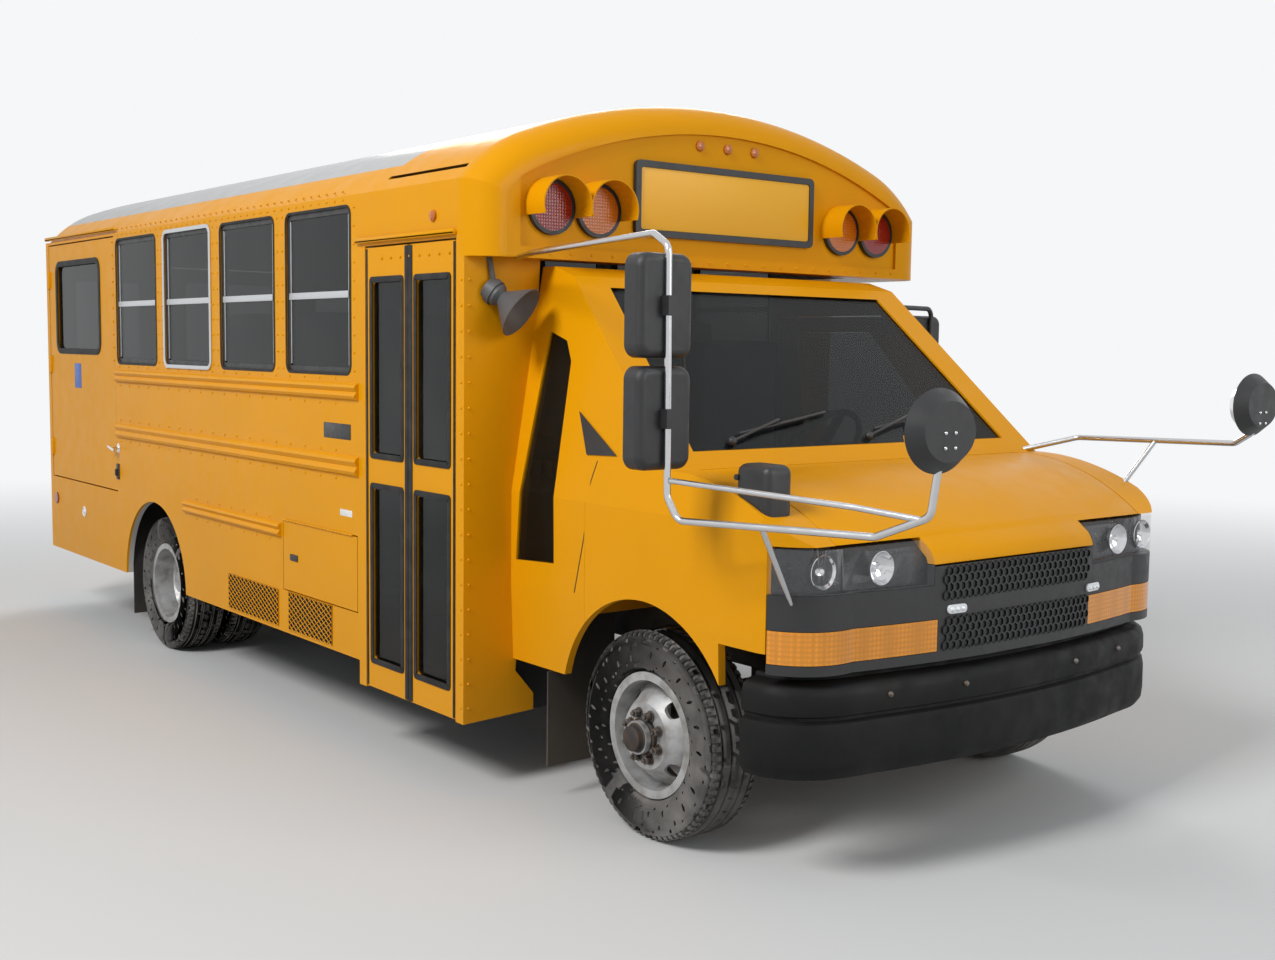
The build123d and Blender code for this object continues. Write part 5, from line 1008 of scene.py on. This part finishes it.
gaskets = [on_face(ring_plate(WINDOW_WIDTH + 0.016, 0.711, 0.045, 0.012, 0.003, edge=0.001),
                   window_centre(i, side_name), side_name)
           for side_name, side in SIDES for i in range(WINDOW_COUNT[side_name]) if i != PUSH_OUT]
settle(gaskets, "window_gaskets", "bus_body", seal_rubber)
print("windows done")

# %% [markdown]
# ## Rivets
# The sheets are riveted to the posts and rails behind them. Rows of low round heads run
# down each window post, along the roof seam and the rub rails, and along the cap's edge.

# %% Rivet rows
CLOSE_PITCH = 0.075
WIDE_PITCH = 0.150
POST_PITCH = 0.095
CAP_FOOT_Z = 2.046
for side_name, side in SIDES:
    y = side * SIDE
    last = WINDOW_COUNT[side_name]
    rows = []
    for i in range(last + 1):
        post_x = along(WINDOW_FRONT_V + 0.065 - i * WINDOW_PITCH)
        if side < 0 and i == 0:
            post_x = along(WINDOW_FRONT_V + 0.035)
        for offset in ((-0.028, 0.028) if 0 < i < last else (0,)):
            rows.append(rivet_row((post_x + offset, y, 1.590), (0, 0, CLOSE_PITCH), 10, side_name))
    rear_v, front_v = (-4.540, -1.650) if side < 0 else (-5.820, -0.900)
    for z, pitch in ((2.300, CLOSE_PITCH), (2.334, CLOSE_PITCH), (1.556, WIDE_PITCH), (1.449, WIDE_PITCH),
                     (1.249, WIDE_PITCH), (1.129, WIDE_PITCH)):
        count = int((front_v - rear_v) / pitch)
        rows.append(rivet_row((along(rear_v), y, z), (pitch, 0, 0), count, side_name))
    for z in (0.895, 0.793):
        rows.append(rivet_row((along(-3.420), y, z), (WIDE_PITCH, 0, 0), 7, side_name))
    settle(rows, "rivets_" + side_name, "bus_body", yellow_paint)
front_rows = [rivet_row((along(-1.430), side * SIDE, CAP_FOOT_Z), (CLOSE_PITCH, 0, 0), 8, side_name)
              for side_name, side in SIDES]
front_rows.append(rivet_row((along(-0.818), -SIDE, 0.330), (0, 0, POST_PITCH), 18, "right"))
front_rows.append(rivet_row((along(-0.799), -SIDE + 0.022, 0.330), (0, 0, POST_PITCH), 18, "front"))
for i in range(21):
    front_rows.append(rivet(*from_ahead("front_cap", -1.0 + 0.1 * i, 2.052, along(0.5))))
settle(front_rows, "rivets_front", "bus_body", yellow_paint)
rear_rows = [rivet_row((REAR_X, y, 0.640), (0, 0, POST_PITCH), 17, "rear")
             for y in (-1.150, -0.480, 0.480, 1.150)]
settle(rear_rows, "rivets_rear", "bus_body", yellow_paint)
print("rivets done")

# %% [markdown]
# ## Headlamps
# A headlamp is a black tray with bright bowls in it, closed by one clear lens that follows
# the nose. The lens is the outer skin of the frame's lamp, the tray is the same form set
# back, and each bowl is a thin outline spun round its own axis with a small bulb shield.

# %% Lens, tray and bowls


def skin_of(node_name, keep):
    """A new piece from the faces of a frame piece that pass a test."""
    piece = bpy.data.objects.new(node_name + "_skin", nodes[node_name].data.copy())
    bpy.context.collection.objects.link(piece)
    activate(piece)
    with edit_mode():
        bpy.ops.mesh.remove_doubles(threshold=0.00005)
        bpy.ops.mesh.select_all(action="DESELECT")
        bpy.ops.mesh.select_mode(type="FACE")
    for face in piece.data.polygons:
        face.select = not keep(face)
    bpy.ops.object.mode_set(mode="EDIT")
    bpy.ops.mesh.delete(type="FACE")
    bpy.ops.object.mode_set(mode="OBJECT")
    return piece


TRAY_SET_BACK = 0.045
LAMP_Z = 1.020
BOWL_OUTLINE = (  # along the axis from the rim, out from the axis
    (0.0, 0.052), (-0.012, 0.048), (-0.026, 0.036), (-0.034, 0.018), (-0.036, 0.0), (-0.038, 0.0),
    (-0.036, 0.019), (-0.028, 0.038), (-0.013, 0.051), (0.0, 0.055), (0.002, 0.0535))
SHIELD_OUTLINE = ((-0.036, 0.0), (-0.036, 0.016), (-0.012, 0.014), (-0.006, 0.010), (-0.004, 0.0))
tray_black = worn("tray_black", (0.012, 0.012, 0.013), 0.30, gloss=(30.0, 4.0, 0.22, 0.38))
rims = []
for side in (-1, 1):
    for out, inset_by in ((0.860, 0.028), (0.640, 0.010)):
        spot, _ = from_ahead("headlights", side * out, LAMP_Z)
        rims.append((spot.x - inset_by, side * out, LAMP_Z))
tray = skin_of("headlights", lambda face: True)
tray.location = (-TRAY_SET_BACK, 0, 0)
settle([tray], "headlamp_trays", "bus_body", tray_black)
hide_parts("headlights")
clear_skin = skin_of("headlights", lambda face: face.normal.x > 0.30)
settle([clear_skin], "headlamp_lenses", "bus_body", clear_lens)
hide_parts("headlights")
bowls = [spun(BOWL_OUTLINE, rim, (1, 0, 0), 40) for rim in rims]
settle(bowls, "headlamp_bowls", "bus_body", chrome)
shields = [spun(SHIELD_OUTLINE, rim, (1, 0, 0), 24) for rim in rims]
settle(shields, "headlamp_shields", "bus_body", mirror_glass)
print("headlamps done")

# %% [markdown]
# ## Fascia mesh and warning lights
# The openings of the fascia carry a honeycomb of hexagonal cells. One cell is an inset
# hexagon; it is repeated in two staggered rows, the rows are repeated up the panel, and
# each point is then laid on the curved fascia, so that the mesh follows it.

# %% Honeycomb panels and small lights
CELL_PITCH = 0.030
ROW_RISE = CELL_PITCH * 0.866
MESH_ROWS = 4
mesh_black = worn("mesh_black", (0.010, 0.010, 0.011), 0.32, gloss=(60.0, 4.0, 0.25, 0.42))


def honeycomb(half_width, z_low):
    """A panel of hexagonal cells laid on the fascia."""
    clear_selection()
    bpy.ops.mesh.primitive_circle_add(vertices=6, radius=CELL_PITCH / 1.732, fill_type="NGON")
    cell = bpy.context.object
    with edit_mode():
        bpy.ops.mesh.inset(thickness=0.0030)
        bpy.ops.mesh.delete(type="FACE")
    row_of(cell, (CELL_PITCH, 0, 0), int(2 * half_width / CELL_PITCH))
    activate(cell)
    bpy.ops.object.duplicate()
    second = bpy.context.object
    second.location = (CELL_PITCH / 2, ROW_RISE, 0)
    apply_place(second)
    activate(cell, second)
    bpy.ops.object.join()
    row_of(cell, (0, 2 * ROW_RISE, 0), MESH_ROWS // 2)
    on_face(cell, (0, -half_width + CELL_PITCH / 2, z_low + CELL_PITCH / 2), "front")
    for vertex in cell.data.vertices:
        spot, _ = from_ahead("grille", vertex.co.y, vertex.co.z)
        vertex.co.x = spot.x + 0.0005
    add_modifier(cell, "SOLIDIFY", thickness=0.006, offset=1)
    return cell


settle([honeycomb(0.392, z_low) for z_low in (0.735, 0.900)], "fascia_mesh", "bus_body", mesh_black, smooth=0)
lights = []
for y in (-0.330, 0.430):
    spot, normal = from_ahead("grille", y, 0.868)
    across, upward = square_to(normal)
    light = rounded_plate(0.086, 0.030, 0.013, 0.010, edge=0.003)
    lights.append(stand(light, spot - normal * 0.001, across, upward))
    for step in (-0.025, 0.0, 0.025):
        lights.append(dome(spot + normal * 0.0085 + across * step, normal, 0.009, 0.004, sides=16))
settle(lights, "fascia_lights", "bus_body", led_white)
print("fascia done")

# %% [markdown]
# ## Front bumper
# The bumper cover is one moulding. Its section has a deep lower face, a groove, an upper
# band and a stepped top, and it keeps that section all the way round the nose. The path
# is found by shooting lines at the frame's bumper, so the cover lies where the bumper is.

# %% Bumper cover
BUMPER_SECTION = (  # inward from the outer face, height
    (0.075, 0.353), (0.022, 0.366), (0.004, 0.392), (0.000, 0.430), (0.001, 0.520), (0.006, 0.545),
    (0.020, 0.553), (0.021, 0.563), (0.007, 0.570), (0.003, 0.584), (0.004, 0.630), (0.012, 0.655),
    (0.032, 0.668), (0.070, 0.674), (0.074, 0.686), (0.150, 0.689))
PATH_STEPS = 61
FAN_BACK = 0.45  # how far behind the bumper's ends the fan of lines starts
low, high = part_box("front_bumper")
widest = atan2(high[1] - 0.002, FAN_BACK + 0.030)
path = []
for i in range(PATH_STEPS):
    angle = -widest + 2 * widest * i / (PATH_STEPS - 1)
    ray = Vector((cos(angle), sin(angle), 0))
    spot, _ = touch("front_bumper", Vector((low[0] - FAN_BACK, 0, 0.45)) + ray * 3, -ray)
    path.append(Vector((spot.x, spot.y, 0)))
for i in range(3):
    between = [(path[k - 1] + path[k] * 2 + path[k + 1]) / 4 for k in range(1, PATH_STEPS - 1)]
    path = [path[0]] + between + [path[-1]]
clear_selection()
bpy.ops.mesh.primitive_grid_add(x_subdivisions=len(BUMPER_SECTION) - 1, y_subdivisions=PATH_STEPS - 1, size=1)
cover = bpy.context.object
for number, vertex in enumerate(cover.data.vertices):
    step, height_step = divmod(number, len(BUMPER_SECTION))
    ahead = path[min(step + 1, PATH_STEPS - 1)] - path[max(step - 1, 0)]
    inward = Vector((-ahead.y, ahead.x, 0)).normalized()
    inset_by, height = BUMPER_SECTION[height_step]
    vertex.co = path[step] + inward * inset_by + Vector((0, 0, height))
with edit_mode():
    bpy.ops.mesh.normals_make_consistent(inside=False)
front_face = min(cover.data.polygons, key=lambda face: abs(face.center.y) + abs(face.center.z - 0.48))
if front_face.normal.x < 0:
    with edit_mode():
        bpy.ops.mesh.flip_normals()
add_modifier(cover, "SOLIDIFY", thickness=0.006, offset=-1)
bolts = []
for y in (-0.62, -0.30, 0.30, 0.62):
    spot, normal = from_ahead("front_bumper", y, 0.62)
    bolts.append(dome(spot - normal * 0.004, normal, 0.011, 0.006, sides=12))
settle(bolts, "bumper_bolts", "bus_body", nut_steel)
settle([cover], "front_bumper_cover", "bus_body", bumper_plastic, smooth=40)
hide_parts("front_bumper")
print("bumper faces", len(cover.data.polygons))

# %% [markdown]
# ## Side fittings
# The lift door has a tee handle and a slam latch, the battery box a flush latch and a piano
# hinge, and the skirt carries two air vents of expanded metal over near-black backings, which are painted
# shade for their openings. Plates and labels are blank.

# %% Handles and latches
ROUND_FOOT = ((0.0, 0.0), (0.0, 0.028), (0.003, 0.028), (0.006, 0.022), (0.008, 0.0))
LATCH_OUTLINE = ((0.0, 0.0), (0.0, 0.034), (0.004, 0.034), (0.008, 0.026), (0.005, 0.018), (0.010, 0.0))
REFLECTOR_OUTLINE = ((0.0, 0.0), (0.0, 0.036), (0.005, 0.036), (0.008, 0.032), (0.009, 0.0))
MARKER_OUTLINE = ((0.0, 0.0), (0.0, 0.022), (0.008, 0.021), (0.013, 0.015), (0.015, 0.0))
tee = Vector((along(-4.592), lift_face, 1.085))
bar_half = Vector((0.048, 0, -0.010))
bar_middle = tee + Vector((0, -0.044, 0))
settle([spun(ROUND_FOOT, tee, (0, -1, 0), 28),
        rod(tee, tee + Vector((0, -0.042, 0)), 0.009, 16, edge=0.002),
        rod(bar_middle - bar_half, bar_middle + bar_half, 0.0085, 16, edge=0.003)],
       "lift_tee_handle", "lift_door", chrome)
settle([slab((along(-4.618), lift_face - 0.010, 0.905), (along(-4.576), lift_face + 0.002, 0.995), 0.004),
        slab((along(-4.608), lift_face - 0.022, 0.925), (along(-4.588), lift_face - 0.006, 0.965), 0.005)],
       "lift_slam_latch", "lift_door", black_plastic)
blue_plate = worn("blue_plate", (0.02, 0.10, 0.42), 0.4,
                  patches=(30.0, 4.0, 0.4, 0.8, 0.3, (0.05, 0.15, 0.45)), gloss=(20.0, 4.0, 0.32, 0.5))
badge = rounded_plate(0.120, 0.150, 0.010, 0.0015, edge=0.0005)
on_face(badge, (along(-5.300), lift_face, 1.487), "right")
settle([badge], "blank_side_badge", "lift_door", blue_plate)
lift_hinges = [slab((along(-5.858), lift_face - 0.012, z - 0.055),
                    (along(-5.812), lift_face + 0.003, z + 0.055), 0.004) for z in (1.02, 1.55, 2.08)]
settle(lift_hinges, "lift_door_hinges", "lift_door", yellow_paint)
latch = spun(LATCH_OUTLINE, (along(-5.220), -SIDE, 0.655), (0, -1, 0), 32)
settle([latch], "skirt_latch", "bus_body", chrome)
reflectors = [spun(REFLECTOR_OUTLINE, (along(-5.766), side * SIDE, 0.693), (0, side, 0), 32)
              for side in (-1, 1)]
settle(reflectors, "red_side_reflectors", "bus_body", red_lens)
markers = [spun(MARKER_OUTLINE, (along(-1.020), side * SIDE, 2.190), (0, side, 0), 24) for side in (-1, 1)]
for y in (-0.150, 0.0, 0.150):
    spot, normal = from_ahead("front_cap", y, 2.520)
    markers.append(spun(MARKER_OUTLINE, spot - normal * 0.001, normal, 24))
settle(markers, "clearance_lamps", "bus_body", amber_lens)
print("handles and lamps done")

# %% Blank plates, battery box and vents


def side_plate(v, z, width, height, radius, thickness):
    """A blank plate on the right side, its centre at a station and height."""
    plate = rounded_plate(width, height, radius, thickness, edge=min(0.001, thickness / 3))
    return on_face(plate, (along(v), -SIDE, z), "right")


black_blank = worn("black_blank", (0.015, 0.015, 0.016), 0.35, gloss=(40.0, 4.0, 0.28, 0.45))
settle([side_plate(-1.828, 1.331, 0.250, 0.066, 0.006, 0.002)], "blank_name_plate", "bus_body", black_blank)
label_white = worn("label_white", (0.74, 0.74, 0.72), 0.5, gloss=(60.0, 4.0, 0.42, 0.6))
settle([side_plate(-1.750, 0.985, 0.110, 0.028, 0.003, 0.0008)], "blank_label", "bus_body", label_white)
low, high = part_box("battery_door")
flush = rounded_plate(0.078, 0.030, 0.006, 0.004, edge=0.001)
on_face(flush, (along(-2.262), low[1], 0.730), "right")
settle([flush], "battery_latch", "battery_door", black_plastic)
hinge_y, hinge_z = -SIDE - 0.004, high[2] + 0.004
knuckle = rod((low[0] + 0.010, hinge_y, hinge_z), (low[0] + 0.040, hinge_y, hinge_z), 0.0045, 10, edge=0.001)
settle([row_of(knuckle, (0.034, 0, 0), 20)], "battery_piano_hinge", "bus_body", yellow_paint)

lattices = []
backs = []
for rear_v, front_v, bottom, top in ((-3.012, -2.431, 0.390, 0.563), (-2.323, -1.884, 0.390, 0.567)):
    width, height = front_v - rear_v, top - bottom
    centre = (along((rear_v + front_v) / 2), -SIDE, (bottom + top) / 2)
    clear_selection()
    bpy.ops.mesh.primitive_grid_add(x_subdivisions=26, y_subdivisions=26, size=0.86, rotation=(0, 0, pi / 4))
    lattice = apply_place(bpy.context.object)
    lattice.scale = (1.0, 0.55, 1)
    apply_place(lattice)
    bpy.ops.object.mode_set(mode="EDIT")
    for edge in ((width / 2, 0, 0), (-width / 2, 0, 0), (0, height / 2, 0), (0, -height / 2, 0)):
        bpy.ops.mesh.select_all(action="SELECT")
        bpy.ops.mesh.bisect(plane_co=edge, plane_no=Vector(edge).normalized(), clear_outer=True)
    bpy.ops.object.mode_set(mode="OBJECT")
    add_modifier(lattice, "WIREFRAME", thickness=0.0045, use_replace=True)
    lattices.append(on_face(lattice, (centre[0], centre[1] - 0.003, centre[2]), "right"))
    # a near-black backing behind each mesh is painted shade for the vent's opening
    backs.append(on_face(rounded_plate(width, height, 0.004, 0.0012, edge=0.0004), centre, "right"))
settle(lattices, "vent_meshes", "bus_body", yellow_paint, smooth=0)
settle(backs, "vent_shade_backs", "bus_body", vent_shade_black)
print("side fittings done")

# %% [markdown]
# ## Front fittings
# Two wipers rest low on the windshield, a blank permit label sits in its corner, and a
# whip aerial stands on the cowl. The round mirrors are held by four screws each.

# %% Wipers, label, aerial and mirror screws
GLASS_LINE_X = 4.5  # where the lines to the windshield and mirrors start


def on_glass(y, z, lift):
    """A point just over the windshield."""
    spot, normal = from_ahead("cab_glass", y, z, GLASS_LINE_X)
    return spot + Vector(normal) * (lift if normal.x > 0 else -lift)


GLASS_FOOT_Z = 1.40
BLADE_BACKING = Vector((0.008, 0, 0))
wipers = []
for pivot_y, tip_y in ((-0.640, -0.080), (0.060, 0.620)):
    pivot = on_glass(pivot_y, GLASS_FOOT_Z - 0.030, 0.012)
    elbow = on_glass((pivot_y + tip_y) / 2, GLASS_FOOT_Z + 0.030, 0.024)
    start = on_glass(pivot_y + 0.060, GLASS_FOOT_Z - 0.004, 0.010)
    end = on_glass(tip_y, GLASS_FOOT_Z + 0.060, 0.010)
    wipers.append(rod(pivot, elbow, 0.006, 12, edge=0.002))
    wipers.append(rod(start, end, 0.006, 8, edge=0.001))
    backing = [start.lerp(end, part) + BLADE_BACKING for part in (0.25, 0.75)]
    wipers.append(rod(*backing, 0.005, 8, edge=0.001))
    wipers.append(dome(pivot, (0.6, 0, 0.8), 0.017, 0.012, sides=16))
settle(wipers, "wipers", "bus_body", black_plastic)
LABEL_CORNERS = ((-0.665, 1.866), (-0.545, 1.872), (-0.570, 1.808), (-0.690, 1.800))  # across, height
label = outline_plate([on_glass(y, z, 0.0015) for y, z in LABEL_CORNERS], 0.0008)
settle([label], "blank_permit_label", "bus_body", label_white)
foot, _ = touch("cab_shell", (along(-0.010), -0.800, 2.5), (0, 0, -1))
settle([dome(foot, (0, 0, 1), 0.016, 0.014, sides=16),
        rod(foot, foot + Vector((-0.02, 0, 0.780)), 0.0018, 8)], "whip_aerial", "bus_body", black_plastic)
screws = []
for low_y, high_y in ((-2.0, -0.6), (0.6, 2.0)):
    round_mirror = [vertex.co for vertex in nodes["mirror_housings"].data.vertices
                    if vertex.co.x > along(0.80) and low_y < vertex.co.y < high_y]
    centre = sum(round_mirror, Vector()) / len(round_mirror)
    for across, rise in ((-0.020, -0.020), (-0.020, 0.020), (0.020, -0.020), (0.020, 0.020)):
        spot, normal = from_ahead("mirror_housings", centre.y + across, centre.z + rise, GLASS_LINE_X)
        screws.append(dome(spot, normal, 0.006, 0.004, sides=12))
settle(screws, "mirror_screws", "bus_body", stainless)
print("front fittings done")

# %% [markdown]
# ## Rear lights and door handle
# The back of such a bus carries large round brake lamps, amber turn lamps and clear
# reversing lamps low on the wall, and the emergency door has a bar handle.

# %% Rear lamps and handle
LAMP_DEPTH = 0.085
# outlines in shares of the depth and the radius
DISC = ((0.0, 0.0), (0.0, 1.0), (0.16, 1.0), (0.22, 0.90), (0.26, 0.60), (0.27, 0.0))
RIM = ((0.0, 1.0), (0.0, 1.14), (0.14, 1.14), (0.24, 1.06), (0.22, 1.0))
REAR_LAMPS = (  # name, lens, radius, out from the middle, height
    ("rear_brake_lamps", red_lens, 0.085, 0.985, 1.020),
    ("rear_turn_lamps", amber_lens, 0.085, 0.985, 0.800),
    ("rear_reversing_lamps", led_white, 0.052, 0.760, 0.800),
)


def rear_round(outline, radius, y, z):
    """A round shape on the rear wall from an outline in shares of its depth and radius."""
    return spun([(a * LAMP_DEPTH, b * radius) for a, b in outline], (REAR_X, y, z), (-1, 0, 0), 36)


lamp_rims = []
for lamp_name, glass, radius, out, z in REAR_LAMPS:
    settle([rear_round(DISC, radius, y, z) for y in (-out, out)], lamp_name, "bus_body", glass)
    lamp_rims += [rear_round(RIM, radius, y, z) for y in (-out, out)]
settle(lamp_rims, "rear_lamp_rims", "bus_body", black_plastic)
HANDLE_Z = 1.420
handle = [rod((door_face, y, HANDLE_Z), (door_face - 0.038, y, HANDLE_Z), 0.008, 12, edge=0.002)
          for y in (-0.380, -0.220)]
bar_x = door_face - 0.036
handle.append(rod((bar_x, -0.390, HANDLE_Z), (bar_x, -0.210, HANDLE_Z), 0.010, 14, edge=0.004))
settle(handle, "rear_door_handle", "rear_door", chrome)
print("rear fittings done")

# %% [markdown]
# ## Horn speaker, fender bracket and sail panel
# The public-address horn is a straight cone on a small driver, hung from the cap by a
# strap. The forward mirror tubes are clamped in a moulded block on the fender, and a black
# triangular panel fills the corner between the windshield post and the door.

# %% Horn, bracket and sail panel
HORN_BACK = Vector((along(-0.806), -1.114, 1.919))
HORN_FRONT = Vector((along(-0.690), -1.040, 1.827))
HORN_OUTLINE = (  # along the axis, out from it
    (0.0, 0.0), (0.0, 0.040), (0.004, 0.044), (0.056, 0.044), (0.060, 0.040), (0.070, 0.028), (0.161, 0.100),
    (0.166, 0.104), (0.168, 0.101), (0.164, 0.096), (0.084, 0.022), (0.082, 0.0))
YOKE_OUTLINE = ((0.018, 0.044), (0.018, 0.050), (0.042, 0.050), (0.042, 0.044))
horn_axis = (HORN_FRONT - HORN_BACK).normalized()
horn_grey = worn("horn_grey", (0.075, 0.075, 0.078), 0.5,
                 patches=(8.0, 6.0, 0.4, 0.8, 0.5, (0.12, 0.115, 0.11)),
                 grain=(250.0, 2.0, 0.0003))
strap_foot = HORN_BACK + horn_axis * 0.030 + Vector((0, 0, 0.035))
horn = settle([spun(HORN_OUTLINE, HORN_BACK, horn_axis, 48),
               rod(strap_foot, (HORN_BACK.x + 0.010, HORN_BACK.y, 2.034), 0.011, 12, edge=0.003),
               spun(YOKE_OUTLINE, HORN_BACK, horn_axis, 32)], "horn_cone", "bus_body", horn_grey)
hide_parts("horn_speaker")

bracket = [slab((along(0.440), -0.985, 1.120), (along(0.596), -0.872, 1.345), 0.030, 4)]
bracket += [rod((along(0.452), -0.990, z), (along(0.452), -0.960, z), 0.010, 12, edge=0.002)
            for z in (1.215, 1.300)]
settle(bracket, "fender_mirror_bracket", "bus_body", black_plastic)

sail_corners = [touch("cab_shell", (along(v), -3.0, z), (0, 1, 0))[0] + Vector((0, -0.003, 0))
                for v, z in ((-0.430, 1.470), (-0.175, 1.325), (-0.350, 1.318))]
settle([outline_plate(sail_corners, 0.002)], "sail_panel", "bus_body", black_plastic)
print("horn, bracket and sail panel done")

# %% [markdown]
# ## Hood skin
# The pressed hood has soft edges all round. The skin takes the frame's own hood and rounds
# every sharp edge with a bevel, which is what the press tool does to the real sheet.

# %% Rounded hood
hood_skin = skin_of("hood", lambda face: True)
with edit_mode():
    bpy.ops.mesh.dissolve_limited(angle_limit=radians(1))
add_modifier(hood_skin, "BEVEL", width=0.012, segments=3, limit_method="ANGLE", angle_limit=radians(20),
             use_clamp_overlap=True)
settle([hood_skin], "hood_pressing", "hood", yellow_paint, smooth=50)
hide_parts("hood")
print("hood faces", len(hood_skin.data.polygons))

# %% [markdown]
# ## Panel seams and mud flap bolts
# The fender meets the cab side in one shut line that runs down from the windshield post and
# bends back along the wheel arch. It is laid on the panel point by point as a thin dark
# bead. Three large bolts hold each front mud flap to its bracket.

# %% Shut lines and flap bolts
SHUT_LINE = ((-0.285, 1.300), (-0.307, 1.229), (-0.333, 1.010), (-0.385, 0.816))  # station, height
seams = []
for side in (-1, 1):
    spots = [touch("cab_shell", (along(v), side * 3.0, z), (0, -side, 0))[0] for v, z in SHUT_LINE]
    seams += [rod(first, second, 0.0022, 8) for first, second in zip(spots, spots[1:])]
settle(seams, "cab_shut_lines", "bus_body", seal_rubber)
flap_bolts = []
flap_line_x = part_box("mudflaps")[1][0] + 0.5
for side in (-1, 1):
    for z in (0.560, 0.610, 0.660):
        spot, _ = from_ahead("mudflaps", side * 0.900, z, flap_line_x)
        flap_bolts.append(dome(spot, (1, 0, 0), 0.012, 0.006, sides=14))
settle(flap_bolts, "mudflap_bolts", "bus_body", nut_steel)
print("seam pieces", len(seams), "flap bolts", len(flap_bolts))
